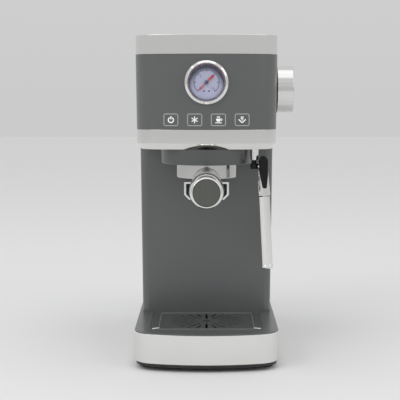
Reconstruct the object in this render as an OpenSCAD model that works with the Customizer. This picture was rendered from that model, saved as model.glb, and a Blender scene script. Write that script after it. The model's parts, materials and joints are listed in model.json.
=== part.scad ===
// Slim pump espresso machine: a head and a column on a base with a slide-out drip tray,
// a locking portafilter, a swivelling steam wand and a lift-off water tank at the back.
// Millimetres. The front faces -Y, +X is the user's right, and z = 0 is under the feet.

/* [Overall] */
// Width of the base
base_w = 140; // [132:1:170]
// Height over the top trim
height = 321; // [300:1:384]
// Depth of the base, front to back
depth = 300; // [285:1:360]
// Wall of the moulded casings
wall = 2.4; // [1.8:0.1:3.2]
// Thickness of the polished trim bands
band_t = 1.2; // [0.8:0.1:1.6]

/* [Outline] */
// Radius of the bowed front
bow_r = 195; // [160:5:400]
// Corner radius of the base's front
base_corner_r = 24; // [16:1:30]
// Corner radius of the head's front
head_corner_r = 28; // [18:1:32]

/* [Base] */
// Height of the base, to the top of the drip tray's cover
base_h = 37; // [32:1:46]
// Height of a foot
foot_h = 4.2; // [3:0.1:8]
// Radius of a foot
foot_r = 8; // [6:0.5:10]
// Thickness of the base pan
pan_t = 2.8; // [2:0.1:4]
// How far the pan is set in from the outline
pan_inset = 1.5; // [1:0.1:3]

/* [Column] */
// Clear depth of the cup bay, base front to column
cup_reach = 118; // [116:1:128]
// Width of the column at its top
column_w_top = 138; // [128:0.2:139]
// Width of the column at its foot
column_w_foot = 134.2; // [124:0.2:137]
// Radius of the column's front edges
column_corner_r = 8; // [5:0.5:12]

/* [Head] */
// How far the head is set back from the base's front
head_setback = 20; // [12:1:26]
// Width of the head at its top
head_w_top = 138; // [130:0.2:140]
// Width of the head at its lower trim
head_w_low = 136.2; // [128:0.2:138.8]
// Height of the top trim
cap_h = 18.5; // [12:0.5:24]
// Height of the painted face
face_h = 71.7; // [68:0.5:84]
// Height of the lower trim's straight part
lower_h = 13.7; // [10:0.5:20]
// Height of the lower trim's bevel
bevel_h = 5.5; // [3:0.5:8]
// How far the bevel runs in
bevel_in = 4.5; // [2:0.5:6]

/* [Gauge] */
// Height of the gauge's centre over the lower trim
gauge_up = 44.8; // [40:0.2:48]
// Outer radius of the gauge's bezel
bezel_r = 21; // [18:0.5:24]
// How far the bezel stands out
bezel_proud = 4; // [2:0.5:6]
// Radius of the gauge's case
case_r = 18.2; // [16:0.1:18.6]

/* [Keys] */
// Width of a key's frame
key_w = 14.4; // [12:0.2:17]
// Height of a key's frame
key_h = 11.9; // [10:0.2:14]
// Spacing of the keys
key_pitch = 23; // [19:0.2:24]
// Height of the keys' centres over the lower trim
key_up = 9.4; // [9:0.2:12]
// Rim of a key's frame
key_rim = 0.9; // [0.6:0.1:1.4]
// Travel of a key
key_travel = 0.8; // [0.4:0.1:1]

/* [Knob] */
// Radius of the steam knob
knob_r = 23.5; // [18:0.5:27]
// Length of the steam knob
knob_l = 16.4; // [14:0.2:24]
// Distance of the knob's axis behind the head's front
knob_back = 60; // [50:1:80]
// Height of the knob's axis over the lower trim
knob_up = 38.4; // [34:0.2:42]
// Radius of the valve spindle
spindle_r = 3; // [2.5:0.1:4]

/* [Group] */
// Distance of the group's axis behind the head's front
group_back = 45; // [43:1:48]
// Radius of the brew group's ring
group_r = 38; // [37:0.5:38.5]
// Height of the shroud round the group
shroud_h = 15.1; // [12:0.1:16]
// Radius of the shroud at its top
shroud_r_top = 45; // [43:0.1:46]
// Radius of the shroud over its rounded rim
shroud_r_rim = 44.6; // [42.5:0.1:45.5]

/* [Portafilter] */
// Radius of the bowl
bowl_r = 30.2; // [28:0.1:30.6]
// Height of the bowl's wall
bowl_h = 22.3; // [20:0.1:26]
// Radius of the filter basket
basket_r = 26.2; // [24:0.1:26.6]
// Width of the twin spout
spout_w = 44.4; // [38:0.2:50]
// Length of the handle
handle_l = 118; // [95:1:135]
// Largest radius of the handle
handle_r = 15.6; // [13:0.1:17]
// Radius of the handle's neck
neck_r = 14; // [11:0.1:15]

/* [Steam wand] */
// Radius of the milk-frothing sleeve
sleeve_r = 5.35; // [4.5:0.05:6.5]
// Length of the sleeve
sleeve_l = 71; // [50:1:90]
// Lean of the wand away from the cup bay
wand_lean = 2.9; // [0:0.1:6]
// Radius of the steam pipe
pipe_r = 2; // [1.6:0.1:2.4]

/* [Drip tray] */
// Width of the drip grate
grate_w = 110; // [96:1:118]
// Depth of the drip grate
grate_d = 84; // [76:1:90]
// Thickness of the grate
grate_t = 1.6; // [1.2:0.1:2]
// Number of radial slots
slot_n = 24; // [12:1:30]

/* [Water tank] */
// Depth of the water tank, front to back
tank_d = 60; // [50:1:66]
// Width of the water tank
tank_w = 132; // [110:1:134]
// Wall of the water tank
tank_wall = 2.2; // [1.6:0.1:3]

/* [Hidden] */

$fn = 96;
eps = 0.01;
// Gap between fixed pieces, and between pieces that slide
fit = 0.2;
slide_gap = 0.5;
// Radial clearance of a pin or spindle in its bore
run = 0.08;

// Colours
grey = "#5b5e5f";
steel = "#c9cac8";
dark = "#242526";
rubber = "#151515";

// Places along Y
front = -depth / 2;
rear = depth / 2;
head_front = front + head_setback;
column_front = front + cup_reach;
tray_rear = column_front - slide_gap;
tank_gap = 1.5;
tank_front = rear - tank_d;
back_y = tank_front - tank_gap;
group_y = head_front + group_back;
knob_y = head_front + knob_back;

// Places along Z
pan_top = foot_h + pan_t;
band_z = pan_top + 0.3;
cover_t = wall;
cover_z = base_h - cover_t;
// The edge of the cover that shows over the trim
lip_h = 0.9;
lip_z = base_h - lip_h;
head_z = height - cap_h - face_h - lower_h - bevel_h;
lower_z = head_z + bevel_h;
face_z = lower_z + lower_h;
cap_z = face_z + face_h;
shroud_z = head_z - shroud_h;
gauge_z = face_z + gauge_up;
key_z = face_z + key_up;
knob_z = face_z + knob_up;

hw = base_w / 2;

// Points of an arc
function arc(c, r, a0, a1, n) =
    [for (i = [0:n]) let (a = a0 + (a1 - a0) * i / n) [c[0] + r * cos(a), c[1] + r * sin(a)]];

// Points of the front of an outline: a bowed face with round corners, its sides ending at y1
function front_points(w, yf, y1, rb, rc, n = 10) =
    let (cx = w - rc, k = rb - rc, yb = yf + rb, yc = yb - sqrt(k * k - cx * cx), t = asin(cx / k),
         bow = arc([0, yb], rb, 270 - t, 270 + t, 2 * n))
    concat([[-w, y1]], arc([-cx, yc], rc, 180, 270 - t, n),
           [for (i = [1:2 * n - 1]) bow[i]], arc([cx, yc], rc, 270 + t, 360, n), [[w, y1]]);

// Points of the back of an outline, with round corners
function rear_points(w, yr, rr, n = 6) =
    concat(arc([w - rr, yr - rr], rr, 0, 90, n), arc([rr - w, yr - rr], rr, 90, 180, n));

// Whole outlines; d moves each one inwards
function base_outline(d = 0) =
    let (f = front_points(hw - d, front + d, 0, bow_r - d, base_corner_r - d))
    concat([for (i = [1:len(f) - 2]) f[i]], rear_points(hw - d, rear - d, 14 - d));
function head_outline(w, d = 0, yr = back_y) =
    let (f = front_points(w / 2 - d, head_front + d, 0, bow_r - d, head_corner_r - d))
    concat([for (i = [1:len(f) - 2]) f[i]], rear_points(w / 2 - d, yr - d, 6 - min(d, 4)));
function column_outline(w, d = 0, yr = back_y) =
    let (f = front_points(w / 2 - d, column_front + d, 0, 1500 - d, max(column_corner_r - d, 1), 6))
    concat([for (i = [1:len(f) - 2]) f[i]], [[w / 2 - d, yr], [d - w / 2, yr]]);

// Points of a rectangle with round corners, centred
function rounded(w, h, r, n = 5) =
    concat(arc([w / 2 - r, h / 2 - r], r, 0, 90, n), arc([r - w / 2, h / 2 - r], r, 90, 180, n),
           arc([r - w / 2, r - h / 2], r, 180, 270, n), arc([w / 2 - r, r - h / 2], r, 270, 360, n));

// A straight-sided solid on an outline
module prism(points, z0, z1) {
    translate([0, 0, z0]) linear_extrude(z1 - z0) polygon(points);
}

// A solid between two outlines of as many points
module loft(a, za, b, zb) {
    n = len(a);
    polyhedron(
        concat([for (p = a) [p[0], p[1], za]], [for (p = b) [p[0], p[1], zb]]),
        concat([[for (i = [n - 1:-1:0]) n + i]],
               [[for (i = [0:n - 1]) i]],
               [for (i = [0:n - 1]) [i, n + i, (i + 1) % n]],
               [for (i = [0:n - 1]) [(i + 1) % n, n + i, n + (i + 1) % n]]));
}

// A rod along an axis from a point: direction x, y or z
module rod_x(p, r, l) { translate(p) rotate([0, 90, 0]) cylinder(r = r, h = l); }
module rod_y(p, r, l) { translate(p) rotate([-90, 0, 0]) cylinder(r = r, h = l); }
module rod_z(p, r, l) { translate(p) cylinder(r = r, h = l); }

// A pipe through points, with a slightly fuller ball at each bend
module pipe(points, r) {
    for (i = [0:len(points) - 2]) {
        v = points[i + 1] - points[i];
        l = norm(v);
        translate(points[i])
            rotate([0, acos(v[2] / l), atan2(v[1], v[0])])
                cylinder(r = r, h = l, $fn = 32);
    }
    for (i = [1:len(points) - 2]) translate(points[i]) sphere(r = r + 0.15, $fn = 32);
}

// Everything behind, or before, a plane across Y
module behind(y) { translate([-500, y, -10]) cube([1000, 1000, 1000]); }

// ---------------------------------------------------------------- base

rail_x = 38;
rail_w = 4;
rail_h = 3;
rail_y = front + 40;
base_screw_x = hw - 16;
base_screw_y = [column_front + 26, rear - 32];
screw_r = 1.5;
screw_head_r = 3;
screw_head_h = 1.8;

module base_pan() color(dark) {
    difference() {
        prism(base_outline(pan_inset), foot_h, pan_top);
        for (x = [-1, 1], y = base_screw_y) {
            rod_z([x * base_screw_x, y, 0], screw_r + fit, height);
            rod_z([x * base_screw_x, y, 0], screw_head_r + fit, foot_h + screw_head_h);
        }
        for (i = [-3:3]) translate([i * 9 - 2, 20, 0]) cube([4, 40, 20]);
    }
    for (s = [-1, 1]) translate([s * rail_x - rail_w / 2, rail_y, foot_h + 1])
        cube([rail_w, tray_rear - 4 - rail_y, pan_t - 1 + rail_h]);
}

module feet() color(rubber) {
    for (x = [-1, 1], y = [front + 32, rear - 26])
        translate([x * (hw - 13), y, 0]) {
            cylinder(r1 = foot_r - 0.8, r2 = foot_r, h = 1);
            translate([0, 0, 1]) cylinder(r = foot_r, h = foot_h - 1);
        }
}

gland_x = -40;
gland_z = (band_z + cover_z) / 2;
gland_r = 5;
gland_bore_r = 3.6;
seat_y = tank_front + 16;
seat_bore_r = 5;
deck_hole_x = 30;
deck_hole_y = [column_front + 24, back_y - 16];

module base_housing() color(grey) {
    skin = band_t + 0.05;
    difference() {
        union() {
            prism(base_outline(skin), pan_top, lip_z + eps);
            prism(base_outline(), lip_z, base_h);
        }
        translate([-500, -1000 + column_front, -10]) cube([1000, 1000, 100]);
        intersection() {
            prism(base_outline(skin + wall), pan_top - 1, cover_z);
            behind(column_front + wall);
        }
        translate([-deck_hole_x, deck_hole_y[0], 0])
            cube([2 * deck_hole_x, deck_hole_y[1] - deck_hole_y[0], 100]);
        rod_z([0, seat_y, 0], seat_bore_r, 100);
        rod_y([gland_x, rear - 20, gland_z], gland_r + fit, 40);
    }
    for (x = [-1, 1], y = base_screw_y) difference() {
        rod_z([x * base_screw_x, y, pan_top], 4.5, cover_z - pan_top + eps);
        rod_z([x * base_screw_x, y, pan_top - 1], screw_r + run, 18);
    }
}

module base_band() color(steel) {
    difference() {
        prism(base_outline(), band_z, lip_z - fit);
        prism(base_outline(band_t), 0, 100);
        translate([-500, -1000 + column_front, -10]) cube([1000, 1000, 100]);
        rod_y([gland_x, rear - 20, gland_z], gland_r + fit, 40);
    }
}

module cord_gland() color(rubber) {
    difference() {
        union() {
            rod_y([gland_x, rear - 8, gland_z], gland_r, 8 + eps);
            rod_y([gland_x, rear, gland_z], gland_r + 2.5, 2.5);
            translate([gland_x, rear + 2.5 - eps, gland_z]) rotate([-90, 0, 0])
                cylinder(r1 = gland_r + 1, r2 = gland_r, h = 6);
        }
        rod_y([gland_x, rear - 9, gland_z], gland_bore_r, 30);
    }
}

// ---------------------------------------------------------------- column and back

back_screw_z = [base_h + 24, head_z - 22, cap_z - 16];
back_screw_x = column_w_foot / 2 - wall - 6;

module back_ears(z) {
    for (x = [-1, 1]) difference() {
        translate([x * (back_screw_x + 3.2) - 7.2, back_y - wall - 8.2, z - 5]) cube([14.4, 8, 10]);
        rod_y([x * back_screw_x, back_y - wall - 20, z], screw_r + run, 30);
    }
}

module column_shell() color(grey) {
    a = column_outline(column_w_foot, 0, back_y);
    b = column_outline(column_w_top, 0, back_y);
    ai = column_outline(column_w_foot, wall, back_y + 10);
    bi = column_outline(column_w_top, wall, back_y + 10);
    difference() {
        loft(a, base_h, b, head_z - fit);
        loft(ai, base_h - 1, bi, head_z + 1);
    }
    intersection() {
        union() for (i = [0, 1]) back_ears(back_screw_z[i]);
        loft(column_outline(column_w_foot, 1, back_y), base_h,
             column_outline(column_w_top, 1, back_y), head_z - fit);
    }
}

module back_panel() color(grey) {
    foot = column_w_foot / 2 - wall - fit;
    neck = column_w_top / 2 - wall - fit;
    bevel = head_w_low / 2 - bevel_in - band_t - fit;
    trim = head_w_low / 2 - band_t - fit;
    low = head_w_low / 2 - wall - fit;
    top = head_w_top / 2 - wall - fit;
    side = [[foot, base_h], [neck, head_z - fit], [bevel, head_z - fit], [bevel, head_z],
            [trim, lower_z], [trim, face_z - fit], [low, face_z - fit], [top, cap_z - fit]];
    translate([0, back_y, 0]) rotate([90, 0, 0]) difference() {
        linear_extrude(wall) polygon(
            concat(side, [for (i = [len(side) - 1:-1:0]) [-side[i][0], side[i][1]]]));
        for (x = [-1, 1], z = back_screw_z) translate([x * back_screw_x, z, -1]) {
            cylinder(r = screw_r + fit, h = 20);
            cylinder(r = screw_head_r + fit, h = 1 + screw_head_h - 0.6);
        }
        for (i = [0:5]) translate([-25, cap_z - 62 + i * 7, -1]) cube([50, 3, 20]);
    }
}

// ---------------------------------------------------------------- head

wall_y = function (x) head_front + bow_r - sqrt(bow_r * bow_r - x * x);
gauge_seat_y = wall_y(bezel_r) + 0.1;

// Puts its children on the bowed front at a distance x from the middle, -Y facing out
module on_front(x) {
    translate([0, head_front + bow_r, 0]) rotate([0, 0, asin(x / bow_r)])
        translate([0, -bow_r, 0]) children();
}

function key_x(i) = (i - 1.5) * key_pitch;

module head_shell() color(grey) {
    difference() {
        loft(head_outline(head_w_low), face_z, head_outline(head_w_top), cap_z);
        loft(head_outline(head_w_low, wall, back_y + 20), face_z - 1,
             head_outline(head_w_top, wall, back_y + 20), cap_z + 1);
        translate([-200, back_y - 0.8, 0]) cube([400, 100, height]);
        rod_y([0, head_front - 10, gauge_z], case_r + fit, 30);
        rod_y([0, gauge_seat_y - 20, gauge_z], bezel_r + fit, 20);
        rod_x([head_w_low / 2 - 20, knob_y, knob_z], spindle_r + 1, 40);
        for (i = [0:3]) on_front(key_x(i)) translate([-key_w / 2 - run, -10, key_z - key_h / 2 - run])
            cube([key_w + 2 * run, 20, key_h + 2 * run]);
    }
    intersection() {
        back_ears(back_screw_z[2]);
        prism(head_outline(head_w_low, 1), face_z, cap_z);
    }
}

module top_band() color(steel) {
    difference() {
        prism(head_outline(head_w_top), cap_z + fit / 2, height);
        prism(head_outline(head_w_top, band_t), cap_z - 1, height + 1);
    }
}

plate_gap = 7;

module top_cover() color(grey) {
    difference() {
        prism(head_outline(head_w_top, band_t + 0.05), cap_z + fit / 2, height - 2.4);
        prism(head_outline(head_w_top, band_t + wall), cap_z - 1, height - 2.4 - wall);
        prism(head_outline(head_w_top, plate_gap), height - 3.4, height);
    }
}

module warming_plate() color(steel) {
    prism(head_outline(head_w_top, plate_gap + fit), height - 3.4, height - 2.6);
    for (i = [-7:7]) translate([i * 7 - 1.2, head_front + 34, height - 2.6 - eps])
        cube([2.4, back_y - head_front - 54, 0.8]);
}

module lower_band() color(steel) {
    far = back_y + 20;
    difference() {
        union() {
            loft(head_outline(head_w_low, bevel_in, far), head_z, head_outline(head_w_low, 0, far), lower_z);
            prism(head_outline(head_w_low, 0, far), lower_z, face_z - fit / 2);
        }
        loft(head_outline(head_w_low, bevel_in + band_t, far + 10), head_z - eps,
             head_outline(head_w_low, band_t, far + 10), lower_z);
        prism(head_outline(head_w_low, band_t, far + 10), lower_z - eps, face_z + 1);
        translate([-200, back_y - 0.8, 0]) cube([400, 100, height]);
    }
}

floor_hole_y = [column_front + wall + 14, back_y - wall - 6];
floor_hole_x = column_w_top / 2 - 24;
rim_h = 3;
rim_w = 6;

module head_floor() color(grey) {
    difference() {
        union() {
            prism(head_outline(head_w_low, bevel_in + band_t + fit, back_y), head_z, head_z + wall);
            // The rim that plugs into the column
            prism(column_outline(column_w_top, wall + fit), head_z - rim_h, head_z - fit);
            prism(column_outline(column_w_top, wall + fit + 4), head_z - 1, head_z + 1);
        }
        prism(column_outline(column_w_top, wall + rim_w, back_y + 10), 0, head_z - eps);
        rod_z([0, group_y, 0], group_r + fit, height);
        rod_z([wand_x, wand_y, 0], nut_stub_r + fit, height);
        translate([-floor_hole_x, floor_hole_y[0], 0])
            cube([2 * floor_hole_x, floor_hole_y[1] - floor_hole_y[0], height]);
        translate([-200, back_y - wall - fit, 0]) cube([400, 100, height]);
    }
}

module group_shroud() color(grey) {
    t = 1.8;
    round_r = 3;
    c = [shroud_r_rim - round_r, round_r];
    translate([0, group_y, shroud_z]) rotate_extrude() polygon(concat(
        arc(c, round_r, 270, 360, 8), [[shroud_r_top, shroud_h], [shroud_r_top - t, shroud_h]],
        arc(c, round_r - t, 360, 270, 8)));
}

// ---------------------------------------------------------------- pressure gauge

lens_t = 1.4;
dial_y = gauge_seat_y + 0.3;
bezel_y = head_front - bezel_proud;
lip_t = 1.4;
lip_r = case_r - 1.5;
needle_y = dial_y - 1.4;

module gauge_bezel() color(steel) {
    difference() {
        rod_y([0, bezel_y, gauge_z], bezel_r, gauge_seat_y - bezel_y - eps);
        rod_y([0, bezel_y - 1, gauge_z], lip_r, 30);
        rod_y([0, bezel_y + lip_t, gauge_z], case_r - 0.6, 30);
    }
}

module gauge_lens() color("#dfe8ee", 0.35) {
    rod_y([0, bezel_y + lip_t, gauge_z], case_r - 0.7, lens_t);
}

module gauge_case() color(dark) {
    difference() {
        rod_y([0, gauge_seat_y + 0.05, gauge_z], case_r, 22);
        rod_y([0, gauge_seat_y - 1, gauge_z], case_r - 0.8, 21);
        rod_y([0, gauge_seat_y, gauge_z], 2, 40);
    }
}

module gauge_dial() color("#b9bfd6") {
    difference() {
        rod_y([0, dial_y, gauge_z], case_r - 0.9, 0.8);
        rod_y([0, dial_y - 1, gauge_z], 0.9, 4);
    }
}

module bourdon_tube() color("#b08d4a") {
    translate([0, dial_y + 8, gauge_z]) rotate([-90, 0, 0]) rotate([0, 0, 60])
        rotate_extrude(angle = 260) translate([11, 0]) circle(r = 1.5, $fn = 24);
}

needle_tip = 10.3;
needle_tail = 9.4;
needle_rest = 225;

module gauge_needle() color("#c22a34") {
    translate([0, needle_y, gauge_z]) {
        rotate([90, 0, 0]) rotate([0, 0, needle_rest]) {
            linear_extrude(0.5) polygon([[needle_tip, 0.25], [0, 0.6], [-needle_tail * 0.3, 0.6],
                [-needle_tail * 0.4, 1.1], [-needle_tail, 1.1], [-needle_tail, -1.1],
                [-needle_tail * 0.4, -1.1], [-needle_tail * 0.3, -0.6], [0, -0.6], [needle_tip, -0.25]]);
        }
        rod_y([0, -0.9, 0], 1.9, 1.3);
        rod_y([0, 0, 0], 0.7, 5);
    }
}

// ---------------------------------------------------------------- keys

board_y = head_front + 15;
switch_t = 3.5;

module key_frames() color("#c4c6c6") {
    for (i = [0:3]) on_front(key_x(i)) translate([0, -0.15, key_z]) rotate([-90, 0, 0])
        linear_extrude(wall + 0.15) difference() {
            polygon(rounded(key_w, key_h, 1.6));
            polygon(rounded(key_w - 2 * key_rim, key_h - 2 * key_rim, 1));
        }
}

module key(i) color(grey) {
    a = asin(key_x(i) / bow_r);
    kw = key_w - 2 * key_rim - fit;
    kh = key_h - 2 * key_rim - fit;
    reach = (board_y - switch_t - 0.3 - (head_front + bow_r - bow_r * cos(a))) / cos(a);
    on_front(key_x(i)) translate([0, 0, key_z]) rotate([-90, 0, 0]) {
        translate([0, 0, -0.1]) linear_extrude(wall + 0.6) polygon(rounded(kw, kh, 0.9));
        translate([0, 0, wall + 0.4]) linear_extrude(1) square([key_w + 1.6, key_h + 1.6], center = true);
        translate([0, 0, wall + 1]) cylinder(r = 1.8, h = reach - wall - 1 - key_travel);
    }
}

module key_power() key(0);
module key_steam() key(1);
module key_coffee() key(2);
module key_water() key(3);

module control_board() color("#1f5a3a") {
    difference() {
        translate([-47, board_y, key_z - 9]) cube([94, 1.6, 22]);
        for (x = [-1, 1]) rod_y([x * 44, board_y - 5, key_z + 9], screw_r, 20);
    }
    for (i = [0:3]) {
        x = key_x(i) - sin(asin(key_x(i) / bow_r)) * 8;
        translate([x - 3, board_y - switch_t, key_z - 3]) cube([6, switch_t + eps, 6]);
    }
    translate([-12, board_y + 1.6 - eps, key_z]) cube([24, 3, 9]);
}

module power_board() color("#1f5a3a") {
    y = back_y - wall - 12;
    translate([-48, y, base_h + 60]) cube([96, 1.6, 74]);
    for (i = [0:2]) rod_y([-30 + i * 22, y - 12, base_h + 80], 6, 12 + eps);
    translate([-40, y - 14, base_h + 102]) cube([30, 14 + eps, 24]);
    translate([6, y - 18, base_h + 100]) cube([26, 18 + eps, 28]);
}

// ---------------------------------------------------------------- steam knob and valve

knob_gap = 1;
knob_x = head_w_top / 2 + knob_gap - 0.3;
valve_x = [head_w_low / 2 - 34, head_w_low / 2 - wall - 0.6];

module steam_knob() color(steel) {
    translate([knob_x, knob_y, knob_z]) rotate([0, 90, 0]) difference() {
        union() {
            cylinder(r = knob_r, h = knob_l - 1.2);
            translate([0, 0, knob_l - 1.2 - eps]) cylinder(r1 = knob_r, r2 = knob_r - 1.2, h = 1.2);
        }
        translate([0, 0, -1]) cylinder(r = spindle_r + 0.05, h = knob_l - 4);
        translate([0, 0, -1]) difference() {
            cylinder(r = knob_r - 2, h = knob_l - 5);
            cylinder(r = spindle_r + 3, h = knob_l);
        }
        translate([0, 0, knob_l - 1]) cylinder(r = knob_r - 2.4, h = 4);
    }
}

module knob_face() color("#8f9190") {
    translate([knob_x + knob_l - 1, knob_y, knob_z]) rotate([0, 90, 0]) difference() {
        cylinder(r = knob_r - 2.6, h = 0.8);
        translate([-knob_r, -0.8, 0.4]) cube([knob_r - 8, 1.6, 4]);
    }
}

module valve_spindle() color("#b08d4a") {
    rod_x([valve_x[0] + 6, knob_y, knob_z], spindle_r, knob_x + knob_l - 5 - valve_x[0] - 6);
}

module steam_valve() color("#b08d4a") {
    difference() {
        union() {
            rod_x([valve_x[0], knob_y, knob_z], 9, valve_x[1] - valve_x[0]);
            rod_z([valve_x[0] + 16, knob_y, knob_z - 13], 4, 10);
        }
        rod_x([valve_x[0] + 5, knob_y, knob_z], spindle_r + run, 60);
        rod_x([valve_x[0] - 1, knob_y, knob_z], 1.4, 10);
        rod_z([valve_x[0] + 16, knob_y, knob_z - 14], 1.4, 14);
    }
}

// ---------------------------------------------------------------- brew group

ring_in_r = bowl_r + 0.9;
lug_r = bowl_r + 4.4;
lug_t = 3.6;
lug_deg = 36;
bowl_z = shroud_z - 14;
rim_z = bowl_z + bowl_h;
lug_z = rim_z - 4.2;
brew_z = rim_z + 5.4;
group_top = head_z + 16.4;
unlock_deg = 45;

// A wedge of a ring about the group's axis
module ring_wedge(r0, r1, z0, z1, mid, deg) {
    translate([0, group_y, z0]) rotate([0, 0, mid]) intersection() {
        difference() {
            cylinder(r = r1, h = z1 - z0);
            translate([0, 0, -1]) cylinder(r = r0, h = z1 - z0 + 2);
        }
        translate([0, 0, -1]) linear_extrude(z1 - z0 + 2)
            polygon([[0, 0], [2 * r1, -2 * r1 * tan(deg / 2)], [2 * r1, 2 * r1 * tan(deg / 2)]]);
    }
}

module group_head() color("#9a9c9b") {
    difference() {
        rod_z([0, group_y, shroud_z + 0.8], group_r, group_top - shroud_z - 0.8);
        rod_z([0, group_y, shroud_z - 1], ring_in_r, brew_z - shroud_z + 1);
        rod_z([0, group_y, lug_z - 0.4], lug_r + 0.6, lug_t + 0.8);
        rod_z([0, group_y, brew_z - 1], 2.2, 60);
        for (s = [0, 180])
            ring_wedge(ring_in_r - 1, lug_r + 0.6, shroud_z - 1, lug_z, s - unlock_deg, lug_deg + 6);
    }
}

module group_gasket() color(rubber) {
    translate([0, group_y, rim_z + 1.1]) difference() {
        cylinder(r = ring_in_r - 0.1, h = brew_z - rim_z - 1.2);
        translate([0, 0, -1]) cylinder(r = basket_r + 0.6, h = 20);
    }
}

module shower_screen() color(steel) {
    translate([0, group_y, brew_z - 1.6]) difference() {
        cylinder(r = basket_r, h = 1);
        translate([0, 0, -1]) cylinder(r = 2.2, h = 5);
        for (k = [1, 2], i = [0:8 * k - 1]) rotate([0, 0, i * 45 / k])
            translate([k * basket_r * 0.38, 0, -1]) cylinder(r = 0.9, h = 5, $fn = 16);
    }
}

block_z = group_top + fit;
block_top = block_z + 28;

module thermoblock() color("#b9bcbd") {
    difference() {
        union() {
            translate([-33, group_y - 15, block_z]) cube([66, 55, block_top - block_z]);
            for (s = [-1, 1]) rod_y([s * 20, group_y + 40 - eps, block_z + 10], 4, 8);
        }
        rod_z([0, group_y, block_z - 1], 2.2, 14);
        for (x = [-1, 1], y = [-9, 34]) rod_z([x * 27, group_y + y, block_z - 1], 2, 80);
    }
    for (i = [-3:3]) translate([i * 9 - 1, group_y + 14, block_top - eps]) cube([2, 24, 3]);
}

// ---------------------------------------------------------------- water circuit inside

pump_x = 0;
pump_y = column_front + 60;
pump_z = base_h + 46;
pump_l = 66;
pump_r = 16;

module pump() color("#3b3d40") {
    rod_z([pump_x, pump_y, pump_z], pump_r, pump_l);
    rod_z([pump_x, pump_y, pump_z - 14], 6, 14 + eps);
    rod_z([pump_x, pump_y, pump_z + pump_l - eps], 7, 16);
    difference() {
        translate([pump_x - 21, pump_y - 19, pump_z + 14]) cube([42, 38, 34]);
        rod_z([pump_x, pump_y, pump_z], pump_r - eps, pump_l);
    }
}

module pump_mounts() color(rubber) {
    for (z = [pump_z + 4, pump_z + pump_l - 10]) translate([pump_x, pump_y, z]) difference() {
        union() {
            cylinder(r = pump_r + 5, h = 6);
            translate([-column_w_foot / 2 + wall + 2, -4, 0]) cube([column_w_foot - 2 * wall - 4, 8, 6]);
        }
        translate([0, 0, -1]) cylinder(r = pump_r + 0.05, h = 20);
    }
}

module solenoid_valve() color("#6d6f72") {
    translate([-46, column_front + 8, face_z + 6]) cube([24, 28, 24]);
    rod_z([-34, column_front + 22, face_z + 30 - eps], 6, 12);
    rod_z([-34, column_front + 22, face_z + 1], 5, 5 + eps);
}

module hoses() color("#d8dad8") {
    r = 3;
    pipe([[0, seat_y, cover_z - 1], [0, seat_y, 20], [0, pump_y, 20], [0, pump_y, pump_z - 14.2]], r);
    pipe([[0, pump_y, pump_z + pump_l + 16.2], [0, pump_y, block_z + 14],
          [0, group_y + 40.2, block_z + 14]], r);
    // The seal that the tank's valve sits on
    difference() {
        rod_z([0, seat_y, base_h], 11, 2);
        rod_z([0, seat_y, base_h - 1], 3, 10);
    }
}

module steam_pipes() color("#c08a5a") {
    r = 1.6;
    v = valve_x[0];
    pipe([[v - 12, knob_y, block_top + fit], [v - 12, knob_y, knob_z], [v - fit, knob_y, knob_z]], r);
    pipe([[v + 16, knob_y, knob_z - 13.2], [v + 16, knob_y, block_z + 6],
          [wand_x, wand_y, block_z + 6], [wand_x, wand_y, nut_top + fit]], r);
    pipe([[0, gauge_seat_y + 22.4, gauge_z], [0, gauge_seat_y + 32, gauge_z],
          [0, gauge_seat_y + 32, block_top + fit]], r);
}

// ---------------------------------------------------------------- portafilter

neck_z = bowl_z - 2.7;
neck_end = group_y - bowl_r - 6.8;
basket_wall = 0.6;
spout_t = 16;
spout_z0 = bowl_z - 22.1;
spout_z1 = bowl_z - 4.1;
outlet_r = 3.4;
outlet_x = 11;

module portafilter_bowl() color(steel) {
    difference() {
        union() {
            rod_z([0, group_y, bowl_z], bowl_r, bowl_h);
            rod_z([0, group_y, spout_z1 + fit / 2], 15, bowl_z - spout_z1);
            rod_y([0, neck_end, neck_z], neck_r, group_y - 15 - neck_end);
            for (s = [0, 180]) ring_wedge(bowl_r - 2, lug_r, lug_z, lug_z + lug_t, s, lug_deg);
        }
        rod_z([0, group_y, bowl_z + 2], basket_r + 1.2, bowl_h);
        rod_z([0, group_y, 0], 4, height);
        rod_y([0, neck_end - 1, neck_z], 4 + run, 14);
    }
}

module filter_basket() color(steel) {
    translate([0, group_y, bowl_z + 4]) difference() {
        union() {
            cylinder(r = basket_r, h = bowl_h - 4 + fit / 2);
            translate([0, 0, bowl_h - 4 + fit / 2]) cylinder(r = bowl_r - 0.6, h = 0.9);
        }
        translate([0, 0, basket_wall]) cylinder(r = basket_r - basket_wall, h = 60);
        for (k = [1, 2], i = [0:6 * k - 1]) rotate([0, 0, i * 60 / k])
            translate([k * basket_r * 0.36, 0, -1]) cylinder(r = 0.7, h = 5, $fn = 16);
    }
}

module basket_spring() color(steel) {
    translate([0, group_y, rim_z - 9]) rotate_extrude()
        translate([basket_r + 0.6, 0]) circle(r = 0.45, $fn = 16);
}

// Front view of the twin spout, set in by d
function spout_points(d) = let (w = spout_w / 2 - d, z0 = spout_z0 + d, z1 = spout_z1 - d, c = 5 - d * 0.4)
    [[-w, z1], [-w, z0 + c], [c - w, z0], [w - c, z0], [w, z0 + c], [w, z1]];

module twin_spout() color(steel) {
    difference() {
        translate([0, group_y + spout_t / 2, 0]) rotate([90, 0, 0])
            linear_extrude(spout_t) polygon(spout_points(0));
        translate([0, group_y + spout_t / 2 - 2, 0]) rotate([90, 0, 0])
            linear_extrude(spout_t - 4) polygon(spout_points(2));
        rod_z([0, group_y, spout_z0 + 6], 4, 40);
        for (s = [-1, 1]) rod_z([s * outlet_x, group_y, spout_z0 - 1], outlet_r, 8);
    }
}

handle_start = neck_end - fit / 2;
handle_end = handle_start - handle_l;
cap_r = handle_r - 3.7;

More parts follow.
